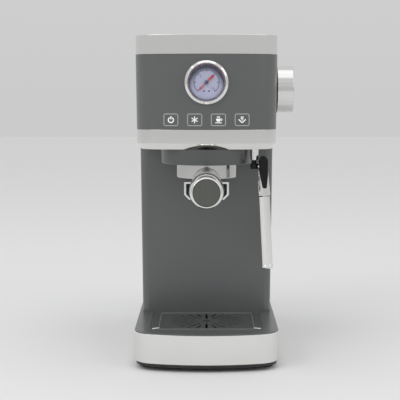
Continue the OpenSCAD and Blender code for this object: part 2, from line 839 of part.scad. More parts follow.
// Half outline of the handle: length from its neck, and radius there
function handle_points() = concat(
    [for (i = [0:10]) let (t = i / 10)
        [handle_l * 0.8 * t, neck_r + (handle_r - neck_r) * t - 1.3 * sin(180 * t)]],
    [for (i = [1:5]) let (a = 90 * i / 5)
        [handle_l * (0.8 + 0.2 * sin(a)), cap_r + 0.5 + (handle_r - cap_r - 0.5) * cos(a)]]);

module handle_sleeve() color(steel) {
    translate([0, handle_start, neck_z]) rotate([90, 0, 0]) difference() {
        rotate_extrude() polygon(
            concat([[0, 0]], [for (p = handle_points()) [p[1], p[0]]], [[0, handle_l]]));
        translate([0, 0, -1]) cylinder(r = 4 + run, h = handle_l * 0.7);
        translate([0, 0, handle_l - 3]) cylinder(r = cap_r + 0.1, h = 10);
    }
}

module handle_cap() color("#6b6a65") {
    translate([0, handle_end + 3, neck_z]) rotate([90, 0, 0]) cylinder(r = cap_r, h = 2.4);
}

module handle_rod() color("#8c8e90") {
    rod_y([0, handle_start - handle_l * 0.65, neck_z], 4, handle_l * 0.65 + 12);
}

// ---------------------------------------------------------------- steam wand

wand_x = 46.5;
wand_y = head_front + 24;
nut_r = 4;
nut_l = 11;
nut_stub_r = 3.2;
nut_z = head_z - nut_l;
nut_top = head_z + wall + 6;
pivot_z = nut_z - 6;
elbow_x = wand_x + 8.3;
collar_l = [3.4, 28.6];
sleeve_top = 29.4;
tip_l = 3;

// Runs its children down the leaning wand, -Z along it from the elbow
module along_wand() {
    translate([elbow_x, wand_y, pivot_z]) rotate([0, -wand_lean, 0]) children();
}

module wand_nut() color(steel) {
    translate([wand_x, wand_y, nut_z]) difference() {
        union() {
            cylinder(r1 = nut_r - 0.3, r2 = nut_r + 0.2, h = nut_l);
            translate([0, 0, nut_l - eps]) cylinder(r = nut_stub_r, h = nut_top - nut_z - nut_l);
        }
        translate([0, 0, -1]) cylinder(r = 2.2 + run, h = 8);
        cylinder(r = 1.2, h = 60);
    }
}

module wand_swivel() color(steel) {
    difference() {
        union() {
            rod_z([wand_x, wand_y, pivot_z - 2.6], nut_r - 0.1, 5.2);
            rod_z([wand_x, wand_y, pivot_z + 2.5], 2.2, nut_z - pivot_z + 3);
        }
        rod_x([wand_x - 1.5, wand_y, pivot_z], 1.6 + run, 20);
        rod_z([wand_x, wand_y, pivot_z], 1, 30);
    }
}

module wand_pipe() color(steel) {
    rod_x([wand_x - 1.4, wand_y, pivot_z], 1.6, elbow_x - wand_x + 1.4);
    translate([elbow_x, wand_y, pivot_z]) sphere(r = pipe_r, $fn = 48);
    along_wand() {
        translate([0, 0, -collar_l[1]]) cylinder(r = pipe_r, h = collar_l[1]);
        translate([0, 0, -sleeve_top - sleeve_l + 4]) cylinder(r = pipe_r, h = sleeve_top + sleeve_l - 6);
        translate([0, 0, -collar_l[1]])
            cylinder(r1 = sleeve_r + 0.75, r2 = sleeve_r - 0.4, h = collar_l[1] - collar_l[0]);
    }
}

module wand_grip() color(rubber) {
    inner = wand_x + nut_r + 0.55;
    top = pivot_z + 10;
    difference() {
        translate([0, wand_y + 4.6, 0]) rotate([90, 0, 0]) linear_extrude(11.5) polygon(concat(
            [[inner + 3.4, pivot_z - 21.4], [inner + 7.6, pivot_z - 21.4], [inner + 8.8, pivot_z - 8]],
            arc([inner + 4.4, top - 4.4], 4.4, 0, 180, 10),
            [[inner, pivot_z - 4], [inner + 1.4, pivot_z - 12]]));
        along_wand() {
            translate([0, 0, -collar_l[1] - 1]) cylinder(r = pipe_r + 0.05, h = collar_l[1] + 1);
            translate([0, 0, -collar_l[1]])
                cylinder(r1 = sleeve_r + 0.8, r2 = sleeve_r - 0.35, h = collar_l[1] - collar_l[0] + 0.05);
        }
        rod_x([wand_x - 1, wand_y, pivot_z], 1.65, elbow_x - wand_x + 1);
        translate([elbow_x, wand_y, pivot_z]) sphere(r = pipe_r + 0.05, $fn = 48);
    }
}

module wand_sleeve() color(steel) {
    along_wand() translate([0, 0, -sleeve_top - sleeve_l]) difference() {
        union() {
            cylinder(r = sleeve_r + 0.3, h = tip_l);
            translate([0, 0, tip_l - eps]) cylinder(r = sleeve_r, h = sleeve_l - tip_l);
        }
        translate([0, 0, 3]) cylinder(r = sleeve_r - 1, h = sleeve_l - 5);
        translate([0, 0, -1]) cylinder(r = 1.2, h = 6);
        translate([0, 0, 10]) cylinder(r = pipe_r + run, h = sleeve_l);
    }
}

// ---------------------------------------------------------------- drip tray

tray_skin = band_t + 0.05;
tray_wall = 2;
tray_floor = pan_top + rail_h + 1;
grate_y1 = tray_rear - 8;
grate_y0 = grate_y1 - grate_d;
grate_mid = (grate_y0 + grate_y1) / 2;
ledge = 4;
field_w = grate_w - 16;

function tray_outline(d, y1) = front_points(hw - d, front + d, y1, bow_r - d, base_corner_r - d);

module drip_tray() color(grey) {
    inner = tray_outline(tray_skin + tray_wall, tray_rear - tray_wall);
    difference() {
        prism(tray_outline(tray_skin, tray_rear), band_z, cover_z - fit);
        prism(inner, tray_floor + 2, 100);
        prism(inner, 0, tray_floor);
        for (s = [-1, 1]) translate([s * rail_x - rail_w / 2 - slide_gap, tray_rear - 10, 0])
            cube([rail_w + 2 * slide_gap, 20, tray_floor - 0.3]);
    }
    for (s = [-1, 1], t = [-1, 1])
        translate([s * rail_x + t * (rail_w / 2 + slide_gap + 1) - 1, rail_y, band_z])
            cube([2, tray_rear - 1 - rail_y, tray_floor - band_z + eps]);
}

module tray_band() color(steel) {
    difference() {
        prism(tray_outline(0, tray_rear), band_z, lip_z - fit);
        prism(tray_outline(band_t, tray_rear + 10), 0, 100);
    }
}

module tray_cover() color(grey) {
    difference() {
        union() {
            prism(tray_outline(tray_skin, tray_rear), cover_z, lip_z + eps);
            prism(tray_outline(0, tray_rear), lip_z, base_h);
        }
        translate([0, grate_mid, 0]) {
            prism(rounded(grate_w + 2 * fit, grate_d + 2 * fit, 6), base_h - grate_t - fit, 100);
            prism(rounded(grate_w - 2 * ledge, grate_d - 2 * ledge, 4), 0, 100);
        }
    }
}

module drip_grate() color("#4a4c4d") {
    long_r0 = 12;
    short_r0 = 20;
    r1 = min(field_w, grate_d - 2 * ledge) / 2 - 1;
    slot_w = 2.2;
    difference() {
        translate([0, grate_mid, 0]) {
            prism(rounded(grate_w, grate_d, 6), base_h - grate_t, base_h);
            difference() {
                prism(rounded(field_w, grate_d - 2, 3), base_h - grate_t, base_h + 0.4);
                prism(rounded(field_w - 1.6, grate_d - 3.6, 2.4), base_h - grate_t - 1, base_h + 1);
            }
        }
        translate([0, grate_mid, base_h - grate_t - 1]) for (i = [0:slot_n - 1]) {
            r0 = i % 2 == 0 ? long_r0 : short_r0;
            rotate([0, 0, 360 * i / slot_n]) translate([r0, -slot_w / 2, 0]) cube([r1 - r0, slot_w, 5]);
        }
        translate([0, grate_mid, base_h - grate_t - 1]) cylinder(r = 4, h = 5);
    }
}

// ---------------------------------------------------------------- water tank

tank_z = base_h + 2.2;
tank_top = cap_z - 1.2;
tank_back_r = 16;
hinge_y = rear - 1.5;
hinge_z = cap_z + 1.4;
ear_x = tank_w / 2 - 20;
lid_z = cap_z + 0.2;

function tank_outline(d) = concat(
    arc([tank_w / 2 - tank_back_r, rear - tank_back_r], tank_back_r - d, 0, 90, 8),
    arc([tank_back_r - tank_w / 2, rear - tank_back_r], tank_back_r - d, 90, 180, 8),
    arc([5 - tank_w / 2, tank_front + 5], 5 - d, 180, 270, 4),
    arc([tank_w / 2 - 5, tank_front + 5], 5 - d, 270, 360, 4));

module water_tank() color("#8b98a3", 0.4) {
    difference() {
        prism(tank_outline(0), tank_z, tank_top);
        prism(tank_outline(tank_wall), tank_z + 3, tank_top + 1);
        rod_z([0, seat_y, 0], 8 + fit, 100);
    }
    for (s = [-1, 1]) difference() {
        translate([s * ear_x - 2, hinge_y - 1.4, tank_top - eps]) cube([4, 2.8, hinge_z - tank_top + 1.6]);
        rod_x([s * ear_x - 10, hinge_y, hinge_z], 1.2 + run, 20);
    }
}

module tank_valve() color(dark) {
    difference() {
        union() {
            rod_z([0, seat_y, tank_z + 0.1], 8, 3 + eps);
            rod_z([0, seat_y, tank_z + 3.1], 12, 2);
            rod_z([0, seat_y, tank_z + 5], 7, 10);
        }
        rod_z([0, seat_y, 0], 3, tank_z + 12);
        for (a = [0:45:135]) translate([0, seat_y, tank_z + 7]) rotate([0, 0, a])
            translate([-20, -1, 0]) cube([40, 2, 5]);
    }
}

module tank_lid() color(grey) {
    difference() {
        prism(tank_outline(0), lid_z, height - 0.5);
        prism(tank_outline(tank_wall), lid_z - 1, height - 0.5 - wall);
        for (s = [-1, 1]) translate([s * ear_x - 2.6, hinge_y - 3, lid_z - 1]) cube([5.2, 10, 9]);
    }
    for (s = [-1, 1]) rod_x([s * ear_x - 5, hinge_y, hinge_z], 1.2, 10);
}

// ---------------------------------------------------------------- fasteners

// A pan-head screw, its head's top at the origin and its shank along -Z
module screw(l) {
    difference() {
        translate([0, 0, -screw_head_h]) cylinder(r = screw_head_r, h = screw_head_h);
        for (a = [0, 90]) rotate([0, 0, a]) translate([-1.8, -0.4, -1]) cube([3.6, 0.8, 2]);
    }
    translate([0, 0, -l]) cylinder(r = screw_r, h = l - screw_head_h + eps);
}

module screws() color("#8c8e90") {
    for (x = [-1, 1], y = base_screw_y)
        translate([x * base_screw_x, y, foot_h]) rotate([180, 0, 0]) screw(16);
    for (x = [-1, 1], z = back_screw_z)
        translate([x * back_screw_x, back_y + 0.6, z]) rotate([-90, 0, 0]) screw(9);
    // The screw that holds the shower screen
    translate([0, group_y, brew_z - 1.7 - screw_head_h]) rotate([180, 0, 0])
        screw(7);
}

base_pan();
base_housing();
base_band();
feet();
column_shell();
back_panel();
head_shell();
top_band();
top_cover();
warming_plate();
lower_band();
head_floor();
group_shroud();
group_head();
group_gasket();
shower_screen();
thermoblock();
pump();
pump_mounts();
solenoid_valve();
steam_valve();
hoses();
steam_pipes();
control_board();
power_board();
gauge_case();
gauge_bezel();
gauge_dial();
gauge_lens();
bourdon_tube();
gauge_needle();
key_frames();
key_power();
key_steam();
key_coffee();
key_water();
steam_knob();
knob_face();
valve_spindle();
portafilter_bowl();
filter_basket();
basket_spring();
twin_spout();
handle_sleeve();
handle_cap();
handle_rod();
wand_nut();
wand_swivel();
wand_pipe();
wand_grip();
wand_sleeve();
drip_tray();
tray_band();
tray_cover();
drip_grate();
water_tank();
tank_valve();
tank_lid();
cord_gland();
screws();
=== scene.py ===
"""Looks of a slim pump espresso machine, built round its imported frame.

Every piece is in metres in the frame's own place: -Y is the front, +X the user's right, +Z up.
"""

import json
import math

import bmesh
import bpy
from mathutils import Matrix, Vector

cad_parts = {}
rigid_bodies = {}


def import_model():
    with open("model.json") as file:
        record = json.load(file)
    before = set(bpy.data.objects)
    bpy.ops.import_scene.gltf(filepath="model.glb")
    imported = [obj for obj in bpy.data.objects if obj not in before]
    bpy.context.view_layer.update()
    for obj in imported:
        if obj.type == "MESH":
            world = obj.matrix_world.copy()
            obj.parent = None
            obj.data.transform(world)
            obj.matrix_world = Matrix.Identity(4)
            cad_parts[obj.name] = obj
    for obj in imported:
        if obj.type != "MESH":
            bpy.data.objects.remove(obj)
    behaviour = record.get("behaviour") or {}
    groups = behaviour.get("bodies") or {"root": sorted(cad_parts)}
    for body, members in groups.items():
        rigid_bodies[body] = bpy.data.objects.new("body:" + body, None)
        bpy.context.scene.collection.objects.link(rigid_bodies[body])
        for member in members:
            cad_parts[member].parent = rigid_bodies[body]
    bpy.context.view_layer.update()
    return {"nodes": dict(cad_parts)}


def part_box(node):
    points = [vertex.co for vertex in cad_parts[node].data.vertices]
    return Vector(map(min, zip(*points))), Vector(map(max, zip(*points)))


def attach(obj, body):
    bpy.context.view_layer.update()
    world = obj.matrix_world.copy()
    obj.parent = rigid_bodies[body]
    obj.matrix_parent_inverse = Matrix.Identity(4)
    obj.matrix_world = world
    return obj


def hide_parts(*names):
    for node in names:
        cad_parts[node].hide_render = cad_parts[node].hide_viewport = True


bl_info = {
    "name": "Espresso Machine",
    "version": (1, 0, 0),
    "blender": (4, 5, 0),
    "location": "View3D > Sidebar > Espresso",
    "description": "Casings, polished trim, portafilter, wand, gauge and tank of a slim espresso machine",
    "category": "Object",
}

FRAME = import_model()
MM = 0.001


def low(node):
    """Lowest corner of a node of the frame."""
    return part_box(node)[0]


def high(node):
    """Highest corner of a node of the frame."""
    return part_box(node)[1]


def middle(node):
    """Centre of a node's box."""
    lo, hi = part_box(node)
    return (lo + hi) / 2


# ------------------------------------------------------------------ settings


class MachineShape(bpy.types.PropertyGroup):
    """Radii and edges that the frame's boxes don't give."""

    bow: bpy.props.FloatProperty(
        name="Front bow", description="Radius of the bowed front", default=195 * MM, unit="LENGTH")
    head_corner: bpy.props.FloatProperty(
        name="Head corner", description="Corner radius of the head's front", default=28 * MM, unit="LENGTH")
    base_corner: bpy.props.FloatProperty(
        name="Base corner", description="Corner radius of the base's front", default=24 * MM, unit="LENGTH")
    base_rear: bpy.props.FloatProperty(
        name="Base rear corner", description="Corner radius of the base's back", default=14 * MM,
        unit="LENGTH")
    column_corner: bpy.props.FloatProperty(
        name="Column corner", description="Radius of the column's front edges", default=8 * MM, unit="LENGTH")
    foot_taper: bpy.props.FloatProperty(
        name="Column taper", description="Width of the column's foot over its top", default=134.2 / 138,
        min=0.9, max=1)
    wall: bpy.props.FloatProperty(
        name="Wall", description="Thickness of the moulded casings", default=2.4 * MM, unit="LENGTH")
    trim: bpy.props.FloatProperty(
        name="Trim", description="Thickness of the polished bands", default=1.2 * MM, unit="LENGTH")
    edge: bpy.props.FloatProperty(
        name="Edge", description="Radius of the casings' edges", default=0.5 * MM, unit="LENGTH")
    lean: bpy.props.FloatProperty(
        name="Wand lean", description="Lean of the steam wand", default=math.radians(2.9), subtype="ANGLE")
    slots: bpy.props.IntProperty(
        name="Grate slots", description="Radial slots in the drip grate", default=24, min=6, max=40)
    needle_zero: bpy.props.FloatProperty(
        name="Needle zero", description="Angle of the needle at rest, from the right",
        default=math.radians(225),
        subtype="ANGLE")


def colour_setting(name, description, value):
    """A colour property."""
    return bpy.props.FloatVectorProperty(
        name=name, description=description, default=value, size=3, min=0, max=1, subtype="COLOR")


class MachineFinish(bpy.types.PropertyGroup):
    """Colours of the finishes."""

    coat: colour_setting("Coat", "Satin coat of the casings", (0.099, 0.104, 0.105))
    steel: colour_setting("Steel", "Polished and brushed steel", (0.80, 0.80, 0.785))
    dial: colour_setting("Dial", "Face of the gauge", (0.46, 0.48, 0.66))
    needle: colour_setting("Needle", "Needle of the gauge", (0.55, 0.02, 0.035))
    print: colour_setting("Print", "Icons and outlines of the keys", (0.86, 0.87, 0.87))
    tank: colour_setting("Tank", "Tint of the water tank", (0.42, 0.46, 0.50))


def shape():
    """The shape settings."""
    return bpy.context.scene.machine_shape


def finish():
    """The finish settings."""
    return bpy.context.scene.machine_finish


# ------------------------------------------------------------------ outlines


def arc(cx, cy, r, start, end, steps):
    """Points of an arc with their outward normals."""
    out = []
    for i in range(steps + 1):
        a = math.radians(start + (end - start) * i / steps)
        n = Vector((math.cos(a), math.sin(a)))
        out.append((Vector((cx, cy)) + n * r, n))
    return out


def straight(a, b, steps):
    """Points of a line from a to b, with the normal on its right-hand side."""
    a, b = Vector(a), Vector(b)
    d = (b - a).normalized()
    n = Vector((d.y, -d.x))
    return [(a.lerp(b, i / steps), n) for i in range(steps + 1)]


def merged(*runs):
    """Runs of points end to end, without the doubles where they meet."""
    out = []
    for p, n in (pair for run in runs for pair in run):
        if not out or (p - out[-1][0]).length > 1e-7:
            out.append((p, n))
    if (out[0][0] - out[-1][0]).length < 1e-7:
        out.pop()
    return out


def front_wrap(half, front, back, bow, corner, fine=18):
    """Open outline from the left rear, round the bowed front, to the right rear."""
    cx, k, yb = half - corner, bow - corner, front + bow
    yc = yb - math.sqrt(k * k - cx * cx)
    t = math.degrees(math.asin(cx / k))
    return merged(
        straight((-half, back), (-half, yc), 6),
        arc(-cx, yc, corner, 180, 270 - t, fine),
        arc(0, yb, bow, 270 - t, 270 + t, 2 * fine),
        arc(cx, yc, corner, 270 + t, 360, fine),
        straight((half, yc), (half, back), 6))


def rear_wrap(half, front, rear, corner, fine=12):
    """Open outline from the right front, round the back, to the left front."""
    return merged(
        straight((half, front), (half, rear - corner), 4),
        arc(half - corner, rear - corner, corner, 0, 90, fine),
        arc(corner - half, rear - corner, corner, 90, 180, fine),
        straight((-half, rear - corner), (-half, front), 4))


def whole_wrap(half, front, rear, bow, corner, rear_corner):
    """Closed outline with a bowed front and round rear corners."""
    split = rear - rear_corner - 1 * MM
    return merged(front_wrap(half, front, split, bow, corner), rear_wrap(half, split, rear, rear_corner))


def rounded_rect(w, h, r, fine=6):
    """Closed outline of a rectangle with round corners, centred."""
    x, y = w / 2 - r, h / 2 - r
    return merged(arc(x, y, r, 0, 90, fine), arc(-x, y, r, 90, 180, fine),
                  arc(-x, -y, r, 180, 270, fine), arc(x, -y, r, 270, 360, fine))


def soften(points, radius, closed=True, steps=4):
    """A polyline with each corner turned into an arc; radius is one value or one for each point."""
    pts = [Vector(p) for p in points]
    radii = radius if isinstance(radius, (list, tuple)) else [radius] * len(pts)
    out = []
    for i, p in enumerate(pts):
        ends = not closed and i in (0, len(pts) - 1)
        a, b = pts[i - 1] - p, pts[(i + 1) % len(pts)] - p
        if ends or radii[i] <= 0 or a.length < 1e-9 or b.length < 1e-9:
            out.append(p)
            continue
        turn = a.angle(b)
        cut = min(radii[i] / math.tan(turn / 2), 0.48 * a.length, 0.48 * b.length)
        r = cut * math.tan(turn / 2)
        mid = (a.normalized() + b.normalized()).normalized()
        centre = p + mid * (r / math.sin(turn / 2))
        start, end = p + a.normalized() * cut - centre, p + b.normalized() * cut - centre
        sweep = start.angle_signed(end)
        for k in range(steps + 1):
            c, s = math.cos(-sweep * k / steps), math.sin(-sweep * k / steps)
            out.append(centre + Vector((start.x * c - start.y * s, start.x * s + start.y * c)))
    return out


# ------------------------------------------------------------------ mesh making


def mesh_object(name, verts, faces):
    """A mesh object at the origin, its faces turned outwards."""
    mesh = bpy.data.meshes.new(name)
    mesh.from_pydata([tuple(v) for v in verts], [], faces)
    bm = bmesh.new()
    bm.from_mesh(mesh)
    bmesh.ops.remove_doubles(bm, verts=bm.verts, dist=1e-7)
    bmesh.ops.recalc_face_normals(bm, faces=bm.faces)
    bm.to_mesh(mesh)
    bm.free()
    obj = bpy.data.objects.new(name, mesh)
    bpy.context.collection.objects.link(obj)
    return obj


def sweep(name, path, section, closed_path=False, closed_section=True, place=None):
    """Runs a section along an outline. A section point is (inset, height) or (inset, height, x scale)."""
    n, verts, faces = len(path), [], []
    for point in section:
        d, z = point[0], point[1]
        sx = point[2] if len(point) > 2 else 1
        for p, normal in path:
            q = p - normal * d
            verts.append(Vector((q.x * sx, q.y, z)))
    rows = len(section)
    for i in range(rows if closed_section else rows - 1):
        for j in range(n if closed_path else n - 1):
            a, b = i * n + j, i * n + (j + 1) % n
            k = ((i + 1) % rows) * n
            faces.append((a, b, k + (j + 1) % n, k + j))
    if closed_path and not closed_section:
        faces.append(tuple(reversed(range(n))))
        faces.append(tuple(range((rows - 1) * n, rows * n)))
    if not closed_path and closed_section:
        faces.append(tuple(i * n for i in range(rows)))
        faces.append(tuple(i * n + n - 1 for i in reversed(range(rows))))
    obj = mesh_object(name, verts, faces)
    if place:
        obj.data.transform(place)
    return obj


def turned(name, profile, place, closed=False, steps=96):
    """A turned piece: a profile of (radius, height) spun about the place's Z axis."""
    verts, rings, faces = [], [], []
    for r, h in profile:
        if r < 1e-7:
            rings.append([len(verts)])
            verts.append(place @ Vector((0, 0, h)))
            continue
        rings.append(list(range(len(verts), len(verts) + steps)))
        for i in range(steps):
            a = 2 * math.pi * i / steps
            verts.append(place @ Vector((r * math.cos(a), r * math.sin(a), h)))
    pairs = list(zip(rings, rings[1:] + rings[:1])) if closed else list(zip(rings, rings[1:]))
    for a, b in pairs:
        for i in range(steps):
            j = (i + 1) % steps
            quad = (a[i % len(a)], a[j % len(a)], b[j % len(b)], b[i % len(b)])
            face = tuple(dict.fromkeys(quad))
            if len(face) > 2:
                faces.append(face)
    return mesh_object(name, verts, faces)


def slab(name, outline, z0, z1, edge, place=None, steps=3):
    """A plate on a closed outline, both of its edges rounded."""
    section = soften([(0.02, z0), (0, z0), (0, z1), (0.02, z1)], [0, edge, edge, 0], closed=False,
                     steps=steps)
    ring = [(p[0] if p[0] < 0.01 else 0, p[1]) for p in section[1:-1]]
    return sweep(name, outline, ring, closed_path=True, closed_section=False, place=place)


def extruded(name, points, depth, place):
    """A straight prism on a polygon in the place's XY plane, from z = 0 to its depth."""
    n = len(points)
    verts = [place @ Vector((x, y, z)) for z in (0, depth) for x, y in points]
    faces = [tuple(range(n)), tuple(range(n, 2 * n))]
    faces += [(i, (i + 1) % n, n + (i + 1) % n, n + i) for i in range(n)]
    return mesh_object(name, verts, faces)


def block(name, lo, hi):
    """A box between two corners."""
    place = Matrix.Translation((0, 0, lo[2]))
    return extruded(name, [(lo[0], lo[1]), (hi[0], lo[1]), (hi[0], hi[1]), (lo[0], hi[1])], hi[2] - lo[2],
                    place)


def settled(obj):
    """Applies an object's modifiers to its mesh."""
    bpy.context.view_layer.update()
    evaluated = obj.evaluated_get(bpy.context.evaluated_depsgraph_get())
    mesh = bpy.data.meshes.new_from_object(evaluated)
    old = obj.data
    obj.modifiers.clear()
    obj.data = mesh
    bpy.data.meshes.remove(old)
    return obj


def bevelled(obj, width, steps=3, angle=30):
    """Rounds an object's sharp edges."""
    mod = obj.modifiers.new("edges", "BEVEL")
    mod.width, mod.segments, mod.limit_method = width, steps, "ANGLE"
    mod.angle_limit = math.radians(angle)
    mod.harden_normals = False
    return settled(obj)


def cut(obj, cutters, operation="DIFFERENCE"):
    """Cuts solids out of an object, or joins them to it, and removes them."""
    for cutter in cutters:
        mod = obj.modifiers.new("cut", "BOOLEAN")
        mod.operation, mod.solver, mod.object = operation, "EXACT", cutter
        settled(obj)
        bpy.data.objects.remove(cutter)
    return obj


def joined(name, parts):
    """Several meshes as one object."""
    bm = bmesh.new()
    for part in parts:
        bm.from_mesh(part.data)
        bpy.data.objects.remove(part)
    mesh = bpy.data.meshes.new(name)
    bm.to_mesh(mesh)
    bm.free()
    obj = bpy.data.objects.new(name, mesh)
    bpy.context.collection.objects.link(obj)
    return obj


def outward(origin, angle=0.0):
    """A place on the front: X to the user's right, Y up, and Z straight out, turned about the vertical."""
    c, s = math.cos(angle), math.sin(angle)
    turn = Matrix(((c, 0, s, 0), (s, 0, -c, 0), (0, 1, 0, 0), (0, 0, 0, 1)))
    return Matrix.Translation(origin) @ turn


def upright(x, y, z=0):
    """A place with Z up."""
    return Matrix.Translation((x, y, z))


def along_x(origin):
    """A place with Z along +X."""
    return Matrix.Translation(origin) @ Matrix.Rotation(math.pi / 2, 4, "Y")


def shown(obj, material, body, slot, *nodes, smooth=32):
    """Finishes a piece: smooth shading, its material, and what it rides on and stands for."""
    mesh = obj.data
    mesh.materials.clear()
    mesh.materials.append(material)
    for face in mesh.polygons:
        face.material_index = 0
        face.use_smooth = True
    mesh.set_sharp_from_angle(angle=math.radians(smooth))
    mod = obj.modifiers.new("flat faces", "WEIGHTED_NORMAL")
    mod.keep_sharp, mod.weight = True, 80
    settled(obj)
    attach(obj, body)
    if nodes:
        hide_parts(*nodes)
    return obj


# ------------------------------------------------------------------ finishes


class Wire:
    """A node's socket; arithmetic on it adds Math nodes."""

    def __init__(self, maker, socket):
        self.maker, self.socket = maker, socket

    def _with(self, operation, *values):
        return self.maker.node("ShaderNodeMath", {"operation": operation}, dict(enumerate(values)))

    def __add__(self, other):
        return self._with("ADD", self, other)

    def __radd__(self, other):
        return self._with("ADD", other, self)

    def __sub__(self, other):
        return self._with("SUBTRACT", self, other)

    def __rsub__(self, other):
        return self._with("SUBTRACT", other, self)

    def __mul__(self, other):
        return self._with("MULTIPLY", self, other)

    def __rmul__(self, other):
        return self._with("MULTIPLY", other, self)

    def clipped(self, lo, hi):
        """This value from lo to hi as 0 to 1."""
        return self.maker.node("ShaderNodeMapRange", {"clamp": True}, {0: self, 1: lo, 2: hi})


class Tree:
    """A node tree under construction."""

    def __init__(self, tree):
        self.tree = tree

    def node(self, kind, settings=None, inputs=None, out=0):
        """Adds a node, with its settings and then its sockets' values or links, and gives one output."""
        made = self.tree.nodes.new(kind)
        for key, value in (settings or {}).items():
            if key == "stops":
                self._stops(made.color_ramp, value)
            else:
                setattr(made, key, value)
        for key, value in (inputs or {}).items():
            self.feed(made.inputs[key], value)
        return Wire(self, made.outputs[out])

    def other(self, wire, out):
        """Another output of the node that a wire comes from."""
        return Wire(self, wire.socket.node.outputs[out])

    def _stops(self, ramp, stops):
        while len(ramp.elements) < len(stops):
            ramp.elements.new(0.5)
        for element, (place, value) in zip(ramp.elements, stops):
            element.position, element.color = place, (value, value, value, 1)

    def feed(self, socket, value):
        """Sets or links a socket."""
        if isinstance(value, Wire):
            self.tree.links.new(value.socket, socket)
        elif hasattr(value, "__len__") and len(value) == 3 and socket.type == "RGBA":
            socket.default_value = (*value, 1)
        else:
            socket.default_value = value


class Surface(Tree):
    """A material under construction, round one Principled shader."""

    def __init__(self, name, **constants):
        self.material = bpy.data.materials.new(name)
        self.material.use_nodes = True
        super().__init__(self.material.node_tree)
        self.tree.nodes.clear()
        shader = self.node("ShaderNodeBsdfPrincipled")
        self.shader = shader.socket.node
        end = self.tree.nodes.new("ShaderNodeOutputMaterial")
        self.feed(end.inputs[0], shader)
        for key, value in constants.items():
            self.set(key.replace("_", " "), value)

    def set(self, name, value):
        """Sets or links one of the shader's own sockets."""
        self.feed(self.shader.inputs[name], value)
        return self

    def place(self, stretch=(1, 1, 1), turn=(0, 0, 0)):
        """The piece's own coordinates, stretched and turned."""
        where = self.node("ShaderNodeTexCoord", out="Object")
        return self.node("ShaderNodeMapping", {}, {"Vector": where, "Scale": stretch, "Rotation": turn})

    def noise(self, where, scale, detail=3.0, rough=0.55):
        """Smooth noise from 0 to 1."""
        return self.node("ShaderNodeTexNoise", {},
                         {"Vector": where, "Scale": scale, "Detail": detail, "Roughness": rough})

    def blend(self, factor, a, b):
        """A colour between a and b."""
        return self.node("ShaderNodeMix", {"data_type": "RGBA"}, {0: factor, 6: a, 7: b}, out=2)

    def bump(self, height, strength, distance):
        """Feeds a height to the shader's normal."""
        made = self.node("ShaderNodeBump", {}, {"Strength": strength, "Distance": distance, "Height": height})
        return self.set("Normal", made)


def tinted(colour, factor):
    """A colour made lighter or darker."""
    return tuple(min(1.0, c * factor) for c in colour[:3])


def satin_coat(name, colour, roughness=0.3):
    """Fine-grained satin coat with faint clouds in its sheen."""
    s = Surface(name, Specular_IOR_Level=0.8)
    where = s.place()
    cloud = s.noise(where, 14, 4)
    grain = s.noise(where, 2600, 2)
    s.set("Base Color", s.blend(cloud, tinted(colour, 0.93), tinted(colour, 1.07)))
    s.set("Roughness", (roughness - 0.05) + 0.10 * cloud)
    s.bump(grain, 0.10, 0.05 * MM)
    return s.material


def polished_steel(name, colour, roughness=0.06, lines=(1, 1, 40)):
    """Mirror-polished steel with faint polishing lines and smudges."""
    s = Surface(name, Metallic=1.0)
    smudge = s.noise(s.place(), 22, 5, 0.6)
    line = s.noise(s.place(lines), 90, 3)
    s.set("Base Color", s.blend(smudge, tinted(colour, 0.96), tinted(colour, 1.04)))
    s.set("Roughness", roughness + 0.07 * smudge.clipped(0.5, 0.8))
    s.bump(line, 0.02, 0.02 * MM)
    return s.material


def brushed_steel(name, colour, stretch=(6, 900, 900), roughness=0.26):
    """Steel with long brush lines."""
    s = Surface(name, Metallic=1.0)
    line = s.noise(s.place(stretch), 1.0, 4, 0.7)
    cloud = s.noise(s.place(), 30, 3)
    s.set("Base Color", s.blend(line, tinted(colour, 0.72), tinted(colour, 1.1)))
    s.set("Roughness", (roughness - 0.08) + 0.14 * line + 0.05 * cloud)
    s.bump(line, 0.12, 0.05 * MM)
    return s.material


def turned_steel(name, colour, centre, roughness=0.22):
    """Steel with fine lines turned about the X axis through a centre."""
    s = Surface(name, Metallic=1.0)
    where = s.node("ShaderNodeTexCoord", out="Object")
    off = s.node("ShaderNodeVectorMath", {"operation": "SUBTRACT"}, {0: where, 1: tuple(centre)})
    y = s.node("ShaderNodeSeparateXYZ", {}, {0: off}, out="Y")
    z = s.other(y, "Z")
    radius = s.node("ShaderNodeMath", {"operation": "SQRT"}, {0: y * y + z * z})
    line = s.node("ShaderNodeTexNoise", {"noise_dimensions": "1D"},
                  {"W": radius, "Scale": 3200.0, "Detail": 2.0})
    s.set("Base Color", s.blend(line, tinted(colour, 0.8), tinted(colour, 1.05)))
    s.set("Roughness", (roughness - 0.05) + 0.1 * line)
    s.bump(line, 0.10, 0.04 * MM)
    return s.material


def moulded(name, colour, roughness=0.5, grain=1400, gloss=0.5):
    """Moulded plastic or rubber with a fine spark-eroded grain."""
    s = Surface(name, Specular_IOR_Level=gloss)
    fine = s.noise(s.place(), grain, 3)
    cloud = s.noise(s.place(), 35, 3)
    s.set("Base Color", s.blend(cloud, tinted(colour, 0.85), tinted(colour, 1.15)))
    s.set("Roughness", (roughness - 0.06) + 0.12 * fine)
    s.bump(fine, 0.18, 0.08 * MM)
    return s.material


def printed(name, colour, roughness=0.45, glow=0.0):
    """Ink on a moulded face, with an even painted glow when glow is set."""
    s = Surface(name, Emission_Color=colour, Emission_Strength=glow)
    speck = s.noise(s.place(), 2200, 2)
    s.set("Base Color", s.blend(speck, tinted(colour, 0.9), tinted(colour, 1.05)))
    s.set("Roughness", roughness + 0.05 * speck)
    return s.material


